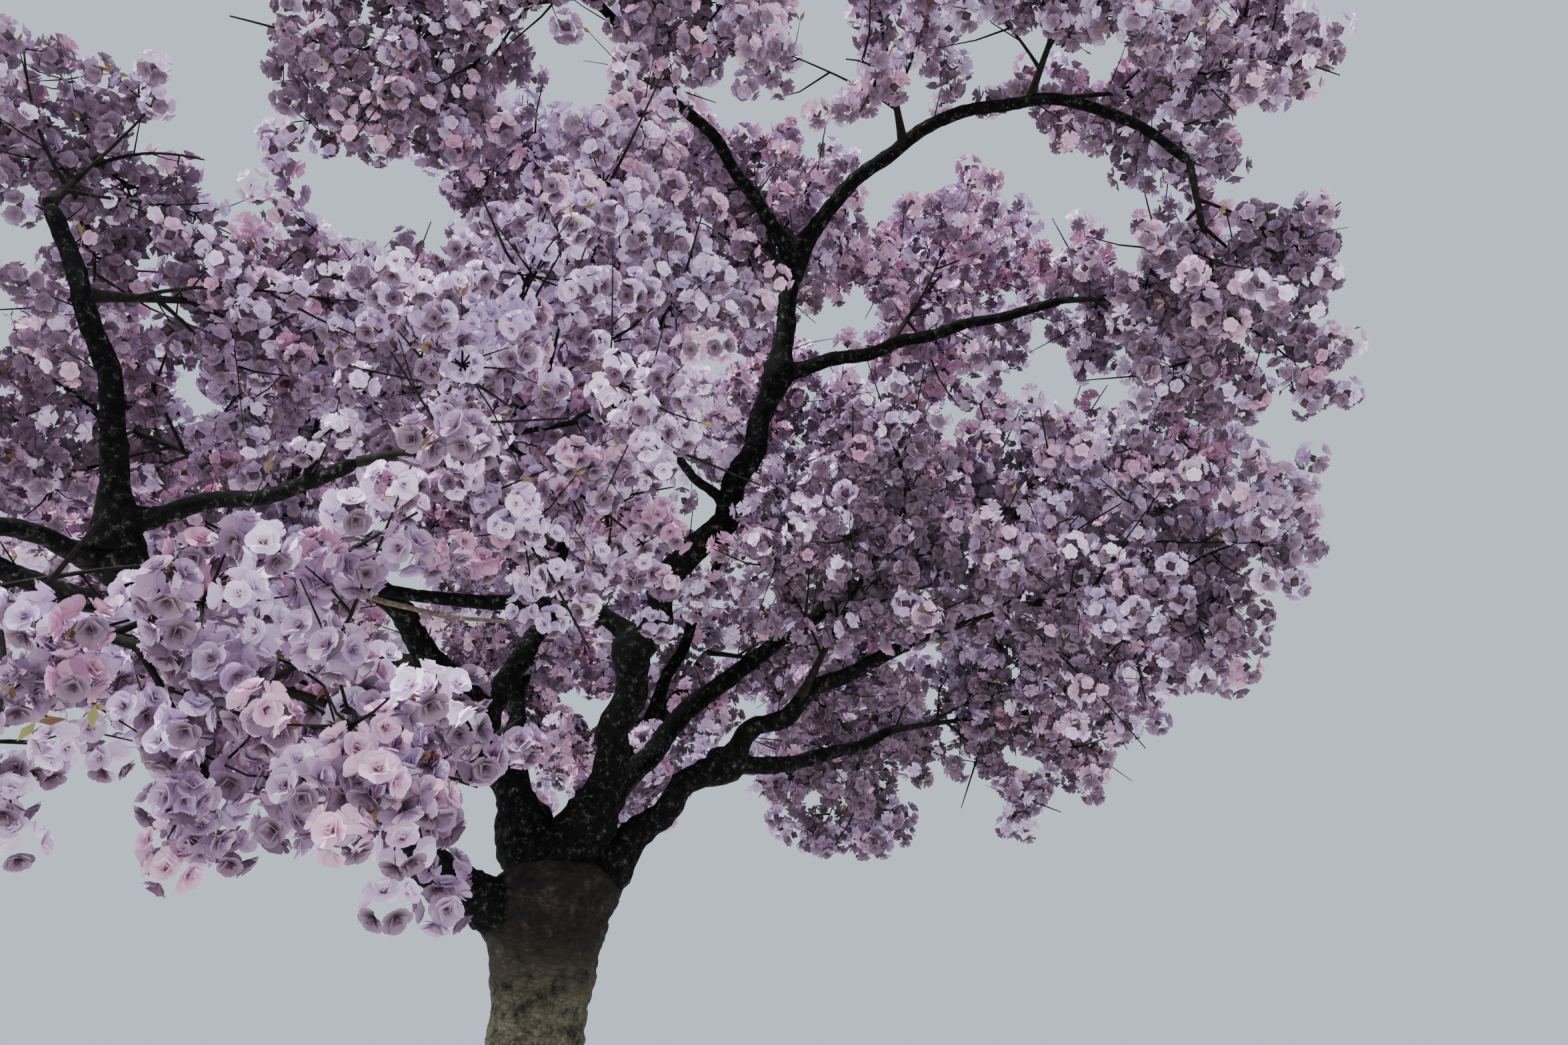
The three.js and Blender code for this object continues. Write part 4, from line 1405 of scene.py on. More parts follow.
@dataclass
class CrownTwigs:
    """Stems, twigs and fine shoots: the solids' rule carried on to the shoots that flower."""

    rule: GrowthRule
    shoot_points: int = 3
    twig_points: int = 8
    stem_points: int = 12
    stem_shoots: ShootPlan = ShootPlan(Seed.STEM_SHOOTS, 0.25, 9.0, (0.18, 0.46))
    twig_shoots: ShootPlan = ShootPlan(Seed.TWIG_SHOOTS, 0.15, 9.0, (0.18, 0.46))
    spurs: ShootPlan = ShootPlan(Seed.SPURS, 0.32, 12.0, (0.20, 0.60))
    bare_shoots: ShootPlan = ShootPlan(Seed.BARE_TWIGS, 0.30, 6.0, (0.34, 0.72))
    bare_radius: tuple[float, float] = (0.0072, 0.0028)
    station_scatter: tuple[float, float] = (0.3, 1.0)
    turn_scatter: float = 0.9
    fan_shoots: int = 7
    fan_back: float = -0.30
    fan_reach: tuple[float, float] = (0.55, 1.05)
    fan_scatter: tuple[float, float] = (0.2, 0.8)
    fan_turn_scatter: float = 0.4
    shoot_lean: tuple[float, float] = (28.0, 66.0)
    tip_shortening: float = 0.35
    bend_scatter: float = 0.13
    bends: tuple[float, float, float] = (0.28, 0.10, -0.22)
    bend_chances: tuple[float, float, float] = (0.5, 0.3, 0.2)
    shoot_radius: tuple[float, float] = (0.0042, 0.0018)
    twig_radius: tuple[float, float] = (0.0085, 0.0036)
    twig_swelling: tuple[float, float] = (0.003, 0.08)
    stem_radius: tuple[float, float] = (0.0180, 0.0070)
    stem_swelling: float = 0.10
    stem_root_share: float = 0.85
    twig_bow: float = 0.09
    twig_wave: float = 0.03
    twig_rise: tuple[float, float] = (-0.02, 0.08)
    most_beyond_twig: float = 0.34
    bare_beyond_twig: float = 0.50
    clear_of_limbs: float = 0.02
    stem_groups: tuple[int, int] = (10000, 3)
    spur_groups: tuple[int, int] = (11000, 4)
    stem_sides: int = 8
    twig_sides: int = 5
    bare_sides: int = 4
    shoot_sides: int = 3
    finish: BarkFinish = BarkFinish(
        "young_cherry_twig_bark", dark="#15110f", middle="#2a221e", light="#4d443c", moss="#4b4a30",
        moss_level=0.16, patch_size=0.03, grain_size=0.004,
    )

    def stems(self) -> Shoots:
        """Each mass's stem, swollen where it leaves its bough.

        Returns:
            One stem for each mass, in the rule's order.
        """
        paths, radii = [], []
        shares = np.linspace(0, 1, self.stem_points)
        limbs = {limb.name: limb for limb in LIMBS}
        for grown in self.rule.masses:
            mass = grown.mass
            paths.append(smooth_path(grown.stem, self.stem_points))
            root = self.rule.limb_radii(limbs[mass.limb], np.array([mass.at]))[0] * self.stem_root_share
            plain = np.interp(shares, [0, 1], self.stem_radius)
            fade = np.exp(-shares * mass.reach * STEM_SHARE / self.stem_swelling)
            radii.append(plain + max(root - self.stem_radius[0], 0) * fade)
        owners = np.arange(len(paths))
        return Shoots(np.array(paths), np.array(radii), owners, owners * 0)

    def twigs(self) -> Shoots:
        """The rule's twigs, bowed upward and sideways: offset bow times 4 s (1 - s).

        Returns:
            All twigs, in the rule's order.
        """
        paths, owners = [], []
        rng = np.random.default_rng(Seed.TWIGS)
        s = np.linspace(0, 1, self.twig_points)[:, None]
        for owner, grown in enumerate(self.rule.masses):
            for twig in grown.twigs:
                span = twig.end - twig.start
                length = float(np.linalg.norm(span))
                side = unit(np.cross(span, rng.normal(size=3)))
                bow = side * rng.uniform(-self.twig_bow, self.twig_bow)
                bow = (bow + np.array([0, 0, rng.uniform(*self.twig_rise)])) * length
                wave = side * rng.uniform(-self.twig_wave, self.twig_wave) * length * np.sin(2 * np.pi * s)
                paths.append(twig.start + span * s + bow * 4 * s * (1 - s) + wave)
                owners.append(owner)
        swelling = self.twig_swelling[0] * np.exp(-s.T / self.twig_swelling[1])
        radii = np.interp(s[:, 0], [0, 1], self.twig_radius)[None] + swelling
        return Shoots(np.array(paths), np.repeat(radii, len(paths), axis=0), np.array(owners),
                      np.arange(len(paths)))

    def limbs(self) -> Shoots:
        """The living limbs' centre lines, for the spurs that flower along them.

        Returns:
            One for each living limb, which belongs to no mass.
        """
        living = [limb for limb in LIMBS if limb.name != "dead_branch"]
        paths = np.array([smooth_path(self.rule.paths[limb.name], self.stem_points) for limb in living])
        none = np.full(len(living), -1)
        return Shoots(paths, np.zeros(paths.shape[:2]), none, np.arange(len(living)))

    def shoots(self, carriers: Shoots, plan: ShootPlan) -> Shoots:
        """Fine shoots that leave their carriers by the golden turn.

        Args:
            carriers: limbs, stems or twigs.
            plan: how many shoots they carry, and where.

        Returns:
            The shoots.
        """
        rng = np.random.default_rng(plan.seed)
        rest = 1 - plan.first_at
        counts = np.maximum(1, np.round(carriers.lengths() * plan.per_metre * rest).astype(int))
        index, order = dealt(counts)
        scatter = rng.uniform(*self.station_scatter, len(index))
        station = plan.first_at + rest * (order + scatter) / counts[index]
        start, ahead = carriers.along(index, station)
        side, other = square_to(ahead, SHOOT_HELPER)
        turn = order * math.radians(GOLDEN_TURN) + rng.uniform(0, self.turn_scatter, len(index))
        turn = turn + index * CARRIER_TURN
        lean = np.radians(rng.uniform(*self.shoot_lean, len(index)))[:, None]
        radial = side * np.cos(turn)[:, None] + other * np.sin(turn)[:, None]
        direction = unit(ahead * np.cos(lean) + radial * np.sin(lean))
        length = rng.uniform(*plan.lengths, len(index)) * (ROOT_TWIG_LENGTH - self.tip_shortening * station)
        return self.bent(start, direction, length, carriers.take(index), rng)

    def bent(self, start: Array, direction: Array, length: Array, carriers: Shoots,
             rng: np.random.Generator) -> Shoots:
        """Shoots that bend up or down: point s lies at start + length (direction s + bend s squared).

        Args:
            start: their roots.
            direction: unit directions at their roots.
            length: their lengths.
            carriers: what carries each shoot.
            rng: the stream of numbers.

        Returns:
            The shoots.
        """
        bend = rng.normal(size=start.shape) * self.bend_scatter
        bend = bend + np.array([0, 0, 1.0]) * rng.choice(self.bends, len(start), p=self.bend_chances)[:, None]
        s = np.linspace(0, 1, self.shoot_points)[None, :, None]
        paths = start[:, None] + length[:, None, None] * (direction[:, None] * s + bend[:, None] * s**2)
        radii = np.repeat(np.interp(s[0, :, 0], [0, 1], self.shoot_radius)[None], len(start), axis=0)
        return Shoots(paths, radii, carriers.owners, carriers.groups)

    def fans(self, twigs: Shoots) -> Shoots:
        """Shoots that spread from each twig's tip and fill its spray, round the tip by the golden turn.

        Shoot k of n leaves at an angle whose cosine falls evenly from 1 to the back of the fan.

        Args:
            twigs: the rule's twigs, in its order.

        Returns:
            The shoots.
        """
        rng = np.random.default_rng(Seed.FANS)
        reach = np.array([twig.spray_width / 2 for grown in self.rule.masses for twig in grown.twigs])
        index, order = dealt(np.full(len(reach), self.fan_shoots))
        ahead = unit(twigs.paths[index, -1] - twigs.paths[index, -2])
        side, other = square_to(ahead, SHOOT_HELPER)
        share = (order + rng.uniform(*self.fan_scatter, len(index))) / self.fan_shoots
        cosine = (1 + (self.fan_back - 1) * share)[:, None]
        turn = order * math.radians(GOLDEN_TURN) + index * CARRIER_TURN
        turn = turn + rng.uniform(-self.fan_turn_scatter, self.fan_turn_scatter, len(index))
        radial = side * np.cos(turn)[:, None] + other * np.sin(turn)[:, None]
        direction = ahead * cosine + radial * np.sqrt(1 - cosine**2)
        length = reach[index] * rng.uniform(*self.fan_reach, len(index))
        return self.bent(twigs.paths[index, -1], direction, length, twigs.take(index), rng)

    def with_room(self, shoots: Shoots, most_beyond: float) -> Shoots:
        """Drops shoots that leave their mass's space, meet a limb, or cross a place that shows open.

        Args:
            shoots: the shoots.
            most_beyond: how far their tips may be from the rule's stem and twigs.

        Returns:
            Those that are kept.
        """
        tips = shoots.paths[:, -1]
        middles = shoots.paths[:, shoots.paths.shape[1] // 2]
        keep = ~in_opening(tips) & ~in_opening(middles)
        for owner, grown in enumerate(self.rule.masses):
            mine = shoots.owners == owner
            starts = np.array([*grown.stem[:-1], *(twig.start for twig in grown.twigs)])
            ends = np.array([*grown.stem[1:], *(twig.end for twig in grown.twigs)])
            keep[mine] &= distances_to_lines(tips[mine], starts, ends).min(axis=1) < most_beyond
        starts, ends, radii = self.rule.wood_but("")
        for points in (tips, middles):
            keep &= (distances_to_lines(points, starts, ends) - radii).min(axis=1) > self.clear_of_limbs
        return shoots.take(keep)

    def bare_twigs(self, twigs: Shoots) -> Shoots:
        """Longer twigs without blossom that reach out of their mass, but not out of the solids' box.

        Args:
            twigs: the rule's twigs.

        Returns:
            The bare twigs.
        """
        bare = self.with_room(self.shoots(twigs, self.bare_shoots), self.bare_beyond_twig)
        tips = bare.paths[:, -1]
        bare = bare.take(((tips > CAD_BOX[0]) & (tips < CAD_BOX[1])).all(axis=1))
        bare.radii[:] = np.linspace(*self.bare_radius, self.shoot_points)
        return bare

    def build(self) -> CrownWood:
        """Builds the twigs' piece.

        Returns:
            The wood for the blossom to sit on.
        """
        stems, twigs = self.stems(), self.twigs()
        grown = (self.shoots(stems, self.stem_shoots), self.shoots(twigs, self.twig_shoots), self.fans(twigs),
                 self.shoots(self.limbs(), self.spurs))
        first, second, fans, spurs = (self.with_room(shoots, self.most_beyond_twig) for shoots in grown)
        spurs = spurs.take(from_eye(spurs.paths[:, -1]) > from_eye(spurs.paths[:, 0]))
        bare = self.bare_twigs(twigs)
        for part, (first_group, groups) in ((first, self.stem_groups), (spurs, self.spur_groups)):
            part.groups = part.groups + first_group + np.arange(len(part.groups)) % groups
        sets = (first, second, fans, spurs)
        tubes = [(stems, self.stem_sides), (twigs, self.twig_sides)]
        tubes += [(part, self.shoot_sides) for part in sets] + [(bare, self.bare_sides)]
        shape = joined([swept_tubes(part.paths, part.radii, sides) for part, sides in tubes])
        piece = make_piece("crown_twigs", shape, self.finish.material())
        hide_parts(*(mass.name for mass in MASSES))
        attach(piece, "root")
        return CrownWood(stems, twigs, Shoots.together(sets))


def thinned(points: Array, apart: float) -> Array:
    """Marks points to keep so that none kept is nearer than a distance to one kept before it.

    Args:
        points: the points.
        apart: least distance.

    Returns:
        True for each point that is kept.
    """
    tree = KDTree(len(points))
    for index, point in enumerate(points):
        tree.insert(point, index)
    tree.balance()
    keep = np.ones(len(points), bool)
    for index in range(len(points)):
        if keep[index]:
            near = np.array([found[1] for found in tree.find_range(points[index], apart)])
            keep[near[near > index]] = False
    return keep


class Petal(Enum):
    """Petal outlines, as points (along, across, lift, ruffle) in shares of its length and half width."""

    ROUNDED = ((0, 0, 0, 0), (0.45, -0.80, 0.06, 1), (0.82, -0.90, 0.14, 1), (1.0, -0.30, 0.09, 0),
               (1.0, 0.34, 0.08, 0), (0.80, 0.94, 0.15, -1), (0.42, 0.80, 0.06, -1))
    BROAD = ((0, 0, 0, 0), (0.60, -1, 0.09, 1), (0.98, -0.45, 0.02, 0), (0.95, 0.45, 0.04, 1),
             (0.58, 1, 0.09, -1))
    BLUNT = ((0, -0.35, 0, 0), (0.95, -1, 0.06, 1), (1.0, 0.90, 0.06, -1), (0, 0.35, 0, 0))
    POINTED = ((0, 0, 0, 0), (1.0, -1, 0.05, 0), (0.90, 1, 0, 0))


@dataclass(frozen=True)
class Ring:
    """One ring of petals in a double flower, in degrees and metres."""

    count: int
    turn: float
    tilt: float
    length: float
    width: float
    petal: Petal = Petal.BLUNT


@dataclass(frozen=True)
class Flower:
    """A double cherry flower that opens along +Z, as rings of petals of a few faces each."""

    rings: tuple[Ring, ...]

    @staticmethod
    def petal(ring: Ring, turn: float, tilt: float, ruffle: float) -> Shape:
        """One petal: its outline in the frame that the turn and tilt give, as a fan from its root.

        Args:
            ring: its ring.
            turn: angle round the flower, in degrees.
            tilt: angle above flat, in degrees.
            ruffle: how far one side is lifted, as a share of its length.

        Returns:
            The petal.
        """
        outline = np.array(ring.petal.value, float)
        a, t = math.radians(turn), math.radians(tilt)
        along = np.array([math.cos(t) * math.cos(a), math.cos(t) * math.sin(a), math.sin(t)])
        across = np.array([-math.sin(a), math.cos(a), 0])
        lift = outline[:, 2] + outline[:, 3] * ruffle
        points = [outline[:, 0] * ring.length, outline[:, 1] * ring.width / 2, lift * ring.length]
        frame = np.stack([along, across, np.cross(along, across)])
        k = np.arange(1, len(outline) - 1)
        return Shape(np.stack(points, axis=1) @ frame, NO_QUADS, np.stack([0 * k, k + 1, k], axis=1))

    def variants(self, count: int, seed: int) -> list[Shape]:
        """Some flowers that differ a little.

        Args:
            count: number of flowers.
            seed: seed of their differences.

        Returns:
            The flowers.
        """
        rng = np.random.default_rng(seed)
        sway, ruffle = PETAL_SWAY_DEG, PETAL_RUFFLE
        return [joined([
            self.petal(ring, ring.turn + 360 * i / ring.count + rng.uniform(-sway, sway),
                       ring.tilt + rng.uniform(-sway, sway), rng.uniform(-ruffle, ruffle))
            for ring in self.rings for i in range(ring.count)
        ]) for _ in range(count)]


def turned_frames(directions: Array, spins: Array) -> Array:
    """Rotation matrices whose third column is each direction, turned about it by each spin.

    Args:
        directions: unit vectors.
        spins: angles in radians.

    Returns:
        One matrix for each.
    """
    helper = np.where(np.abs(directions[:, 2:3]) > NEARLY_UPRIGHT, [[1.0, 0, 0]], [[0, 0, 1.0]])
    side = unit(np.cross(helper, directions))
    other = np.cross(directions, side)
    cos, sin = np.cos(spins)[:, None], np.sin(spins)[:, None]
    return np.stack([side * cos + other * sin, other * cos - side * sin, directions], axis=2)


def copies(shape: Shape, places: Array, frames: Array, sizes: Array) -> Shape:
    """A shape set down many times, as one: place plus size times frame times point."""
    verts = np.einsum("nij,vj->nvi", frames, shape.verts) * sizes[:, None, None] + places[:, None]
    return repeated(verts, shape.quads, shape.tris)


def random_frames(directions: Array, rng: np.random.Generator) -> Array:
    """Rotation matrices whose third column is each direction, with spins by chance."""
    return turned_frames(directions, rng.uniform(0, FULL_TURN, len(directions)))


@dataclass(frozen=True)
class Ball:
    """A ball of blossom up to a distance from the photo's eye: its bunches, and each one's flowers."""

    nearer_than: float
    bunches: int
    bunch_apart: float
    flowers: int
    radius: float
    flower_scale: float
    flower: Flower


BALLS = (
    Ball(4.3, 2, 0.046, 7, 0.033, 1.02, Flower((
        Ring(5, 0, 20, 0.0290, 0.0300, Petal.ROUNDED), Ring(4, 36, 50, 0.0230, 0.0260),
        Ring(3, 10, 72, 0.0170, 0.0180, Petal.POINTED),
    ))),
    Ball(5.9, 1, 0.0, 9, 0.050, 1.12, Flower((
        Ring(5, 0, 18, 0.0310, 0.0320, Petal.BROAD), Ring(3, 36, 54, 0.0250, 0.0300, Petal.POINTED),
    ))),
    Ball(100.0, 1, 0.0, 6, 0.052, 1.24, Flower((
        Ring(5, 0, 18, 0.0370, 0.0350), Ring(3, 36, 56, 0.0290, 0.0330, Petal.POINTED),
    ))),
)


@dataclass(frozen=True)
class BallRow:
    """How balls stand along shoots: how far apart, and from what share of each shoot on."""

    seed: Seed
    spacing: float
    first_at: float


class LeafTint(Enum):
    """The young leaves' plain colours, with the share of the leaves left that each gets."""

    BRONZE = ("#8b6c52", 0.55)
    OLIVE = ("#868552", 1.0)


@dataclass
class Blossom:
    """Flower balls on the fine shoots: double flowers that hang in bunches from short stalks."""

    wood: CrownWood
    rule: GrowthRule
    on_shoots: BallRow = BallRow(Seed.SHOOT_BALLS, 0.090, 0.18)
    on_twigs: BallRow = BallRow(Seed.TWIG_BALLS, 0.100, 0.25)
    on_stems: BallRow = BallRow(Seed.STEM_BALLS, 0.100, 0.45)
    bare_share: float = 0.11
    stalk_length: tuple[float, float] = (0.030, 0.065)
    stalk_waist: tuple[float, float] = (0.4, 0.004)
    station_scatter: tuple[float, float] = (-0.05, 0.25)
    ahead_at_tip: float = 1.2
    ahead_elsewhere: float = 0.1
    hang_down: float = -0.55
    flower_size: tuple[float, float] = (0.90, 1.14)
    least_apart: float = 0.078
    clear_of_limbs: float = 0.065
    own_tone_share: float = 0.40
    # How far in from a mass's stem the painted shade reaches, by how much light the mass gets, and how it
    # fades out
    shade_reach: float = 0.40
    open_reach: float = 0.16
    deep_reach: float = 0.58
    shade_fade: float = 0.25
    # Painted shade: the chances that a flower takes the dark tone, in a ball in its mass's shade and where it
    # looks down
    dusky_inside: float = 0.85
    dusky_below: float = 0.70
    looks_down: float = -0.30
    look_scatter: float = 0.16
    look_droop: float = -0.08
    radius_scatter: tuple[float, float] = (0.75, 1.20)
    # Size of the dark solid in each ball, which stands for the calyxes and paints the shade between the
    # flowers
    calyx_and_shade_radius: float = 0.027
    stalk_radius: float = 0.0014
    leafy_tips: float = 0.55
    leafy_balls: float = 0.42
    leaf_size: tuple[float, float] = (0.030, 0.058)
    leaf_roughness: float = 0.5
    leaf_ahead: tuple[float, float] = (1.1, 0.5)
    leaf_scatter: float = 0.55
    variants: int = 4
    most_triangles: int = 150000
    eye: Flower = Flower((Ring(4, 70, 62, 0.0120, 0.0080, Petal.POINTED),))

    def hung(self, shoots: Shoots, row: BallRow) -> tuple[Array, Array, Array]:
        """Places for balls along shoots, each hung from its shoot by a stalk.

        Args:
            shoots: the shoots.
            row: how the balls stand along them.

        Returns:
            Roots of the stalks, middles of the balls, and the groups they belong to.
        """
        rng = np.random.default_rng(row.seed)
        rest = 1 - row.first_at
        counts = np.maximum(1, np.round(shoots.lengths() * rest / row.spacing).astype(int))
        counts[rng.random(len(counts)) < self.bare_share] = 0
        index, order = dealt(counts)
        scatter = rng.uniform(*self.station_scatter, len(index)) * (order > 0)
        station = 1 - rest * (order + scatter) / counts[index]
        roots, ahead = shoots.along(index, np.clip(station, 0, 1))
        away = rng.normal(size=(len(index), 3))
        away = unit(away - ahead * np.einsum("ij,ij->i", away, ahead)[:, None])
        share = np.where(order == 0, self.ahead_at_tip, self.ahead_elsewhere)[:, None]
        hang = unit(away + ahead * share + np.array([0, 0, self.hang_down]))
        middles = roots + hang * rng.uniform(*self.stalk_length, len(index))[:, None]
        return roots, middles, shoots.groups[index]

    def balls(self) -> tuple[Array, Array, Array]:
        """All balls that have room.

        Returns:
            Roots of their stalks, their middles and their groups.
        """
        rows = (
            self.hung(self.wood.shoots, self.on_shoots),
            self.hung(self.wood.twigs, self.on_twigs),
            self.hung(self.wood.stems, self.on_stems),
        )
        roots, middles, groups = (np.concatenate(parts) for parts in zip(*rows))
        starts, ends, radii = self.rule.wood_but("")
        keep = (distances_to_lines(middles, starts, ends) - radii).min(axis=1) > self.clear_of_limbs
        keep &= ~in_opening(middles)
        keep &= ((middles > CAD_BOX[0]) & (middles < CAD_BOX[1])).all(axis=1)
        roots, middles, groups = roots[keep], middles[keep], groups[keep]
        keep = thinned(middles, self.least_apart)
        return roots[keep], middles[keep], groups[keep]

    def ball_tones(self, groups: Array, rng: np.random.Generator) -> Array:
        """The tone of each ball, by chance or by its spray.

        Args:
            groups: the spray of each ball.
            rng: the stream of numbers.

        Returns:
            The number of each ball's tone.
        """
        chances = np.array([tone.share for tone in Tone])
        by_group = rng.choice(len(chances), groups.max() + 1, p=chances / chances.sum())
        by_ball = rng.choice(len(chances), len(groups), p=chances / chances.sum())
        return np.where(rng.random(len(groups)) < self.own_tone_share, by_group[groups], by_ball)

    def shade_reach_of(self, mass: Mass) -> float:
        """How far from its stem a mass's own shade reaches.

        Args:
            mass: the mass.

        Returns:
            The distance.
        """
        if mass.name in IN_OPEN_LIGHT:
            return self.open_reach
        return self.deep_reach if mass.name in IN_DEEP_SHADE else self.shade_reach

    def shaded(self, middles: Array, rng: np.random.Generator) -> Array:
        """Marks the balls in their mass's own shade, likelier the nearer they are to its stem; their flowers
        get the painted shade tone.

        Args:
            middles: the middle of each ball.
            rng: the stream of numbers.

        Returns:
            True for each ball in shade.
        """
        stems = np.array([grown.stem for grown in self.rule.masses])
        away = distances_to_lines(middles, stems[:, :-1].reshape(-1, 3), stems[:, 1:].reshape(-1, 3))
        reach = np.array([self.shade_reach_of(mass) for mass in MASSES])
        depth = reach[away.argmin(axis=1) // STEM_STEPS] - away.min(axis=1)
        return rng.random(len(middles)) < depth / self.shade_fade

    def flowers(self, ball: Ball, middles: Array, tone: Array, inside: Array,
                rng: np.random.Generator) -> tuple[list[Shape], Shape]:
        """The flowers of many like balls: they look outward by the golden turn, in a painted shade tone low
        down or inside.

        Flower k of n sits at the ball's middle plus its radius times its direction.

        Args:
            ball: what the balls are like.
            middles: the middle of each.
            tone: the tone of each.
            inside: whether each stands in a mass's shade.
            rng: the stream of numbers.

        Returns:
            The petals of each tone, and the flowers' eyes.
        """
        apart = unit(rng.normal(size=middles.shape)) * ball.bunch_apart
        steps = np.linspace(-1, 1, ball.bunches) if ball.bunches > 1 else np.zeros(1)
        middles = (middles[:, None] + apart[:, None] * steps[:, None]).reshape(-1, 3)
        tone, inside = np.repeat(tone, ball.bunches), np.repeat(inside, ball.bunches)
        number = np.arange(ball.flowers)
        polar, turn = np.arccos(1 - 2 * ((number + 0.5) / ball.flowers)), number * math.radians(GOLDEN_TURN)
        fixed = np.stack([np.sin(polar) * np.cos(turn), np.sin(polar) * np.sin(turn), np.cos(polar)], axis=1)
        frames = random_frames(unit(rng.normal(size=(len(middles), 3))), rng)
        scatter = rng.normal(size=(len(middles), ball.flowers, 3)) * self.look_scatter
        directions = np.einsum("nij,kj->nki", frames, fixed) + scatter
        directions = unit(directions + np.array([0, 0, self.look_droop]))
        # Painted shade: flowers that look down, and most flowers of balls in shade, take the dark tone in
        # place of their own
        below = (directions[..., 2] < self.looks_down) * self.dusky_below
        chance = np.where(inside[:, None], self.dusky_inside, below)
        in_painted_shade = rng.random(chance.shape) < chance
        tones = np.where(in_painted_shade, list(Tone).index(Tone.DUSKY), tone[:, None]).ravel()
        radii = ball.radius * rng.uniform(*self.radius_scatter, directions.shape[:2])
        places = (middles[:, None] + directions * radii[..., None]).reshape(-1, 3)
        frames = random_frames(directions.reshape(-1, 3), rng)
        sizes = rng.uniform(*self.flower_size, len(places)) * ball.flower_scale
        which = rng.integers(0, self.variants, len(places))
        made = ball.flower.variants(self.variants, Seed.FLOWERS)
        petals = []
        for value in range(len(Tone)):
            mine = [(tones == value) & (which == i) for i in range(self.variants)]
            petals.append(joined([copies(f, places[m], frames[m], sizes[m]) for f, m in zip(made, mine)]))
        return petals, copies(self.eye.variants(1, Seed.EYES)[0], places, frames, sizes)

    def build(self) -> list[Piece]:
        """The petals by tone, the painted shade tone among them, the near flowers' eyes, the calyxes that
        also paint shade, the stalks and the young leaves.

        Returns:
            All pieces.
        """
        roots, middles, groups = self.balls()
        rng = np.random.default_rng(Seed.BLOSSOM)
        LOG.info("%d balls of blossom on %d shoots", len(middles), len(self.wood.shoots.paths))
        tone, inside = self.ball_tones(groups, rng), self.shaded(middles, rng)
        away = from_eye(middles)
        petals, eyes, done = [], [], 0.0
        for ball in BALLS:
            mine = (away >= done) & (away < ball.nearer_than)
            done = ball.nearer_than
            of_tones, of_eyes = self.flowers(ball, middles[mine], tone[mine], inside[mine], rng)
            petals.append(of_tones)
            eyes.append(of_eyes)
        pieces: list[Piece] = []
        # Each tone, the painted shade among them, gets pieces and a material of its own
        for chosen, shapes in zip(Tone, zip(*petals)):
            finish = PlainFinish(f"cherry_petal_{chosen.name.lower()}", chosen.colour)
            pieces += self.split(f"blossom_{chosen.name.lower()}", joined(list(shapes)), finish.material())
        stamens = PlainFinish("cherry_stamens", "#94704f")
        pieces.append(make_piece("blossom_eyes", eyes[0], stamens.material()))
        pieces.append(self.calyxes(middles[away > BALLS[0].nearer_than], rng))
        pieces.append(self.stalks(roots, middles))
        pieces += self.leaves(roots, middles)
        for piece in pieces:
            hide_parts(*(mass.name for mass in MASSES))
            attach(piece, "root")
        return pieces

    def calyxes(self, middles: Array, rng: np.random.Generator) -> Piece:
        """The bunched calyxes in the middle of each ball, as an eight-sided solid whose dark colour also
        paints the shade between the flowers.

        Args:
            middles: the middle of each ball.
            rng: the stream of numbers.

        Returns:
            The piece.
        """
        frames = random_frames(unit(rng.normal(size=middles.shape)), rng)
        corners = np.concatenate([np.eye(3), -np.eye(3)])[[0, 3, 1, 4, 2, 5]] * self.calyx_and_shade_radius
        faces = np.array([(4, 0, 2), (4, 2, 1), (4, 1, 3), (4, 3, 0), (5, 2, 0), (5, 1, 2), (5, 3, 1),
                          (5, 0, 3)])
        shape = copies(Shape(corners, NO_QUADS, faces), middles, frames, np.ones(len(middles)))
        # Dark mauve for the calyxes, which also paints the shade deep in each ball
        return make_piece("blossom_calyxes", shape, PlainFinish("cherry_calyx", "#5b4753").material())

    def split(self, name: str, shape: Shape, material: Material) -> list[Piece]:
        """A shape as one or more pieces, each below the most triangles that a piece may have.

        Args:
            name: name of the pieces.
            shape: the shape.
            material: its material.

        Returns:
            The pieces.
        """
        parts = max(1, math.ceil(shape.triangles() / self.most_triangles))
        if parts == 1:
            return [make_piece(name, shape, material)]
        made = []
        edges = np.linspace(0, len(shape.verts), parts + 1).astype(int)
        for i in range(parts):
            quads = shape.quads[(shape.quads[:, 0] >= edges[i]) & (shape.quads[:, 0] < edges[i + 1])]
            tris = shape.tris[(shape.tris[:, 0] >= edges[i]) & (shape.tris[:, 0] < edges[i + 1])]
            used = np.unique(np.concatenate([quads.ravel(), tris.ravel()]))
            renumber = np.zeros(len(shape.verts), int)
            renumber[used] = np.arange(len(used))
            part = Shape(shape.verts[used], renumber[quads], renumber[tris])
            made.append(make_piece(f"{name}_{i + 1}", part, material))
        return made

    def stalks(self, roots: Array, middles: Array) -> Piece:
        """Green stalks from the shoots to the balls, as closed spindles of six faces.

        Args:
            roots: where each leaves its shoot.
            middles: the middle of its ball.

        Returns:
            The piece.
        """
        waist = roots + (middles - roots) * self.stalk_waist[0] + np.array([0, 0, self.stalk_waist[1]])
        side, other = square_to(unit(middles - roots), STALK_HELPER)
        ring = round_about(side, other, np.radians([0, 120, 240])) * self.stalk_radius
        verts = np.concatenate([roots[:, None], waist[:, None] + ring, middles[:, None]], axis=1)
        j = np.arange(3)
        k = (j + 1) % 3
        tris = np.concatenate([np.stack([0 * j, k + 1, j + 1], -1), np.stack([0 * j + 4, j + 1, k + 1], -1)])
        finish = PlainFinish("green_flower_stalk", "#7d7a4a")
        return make_piece("blossom_stalks", repeated(verts, NO_QUADS, tris), finish.material())

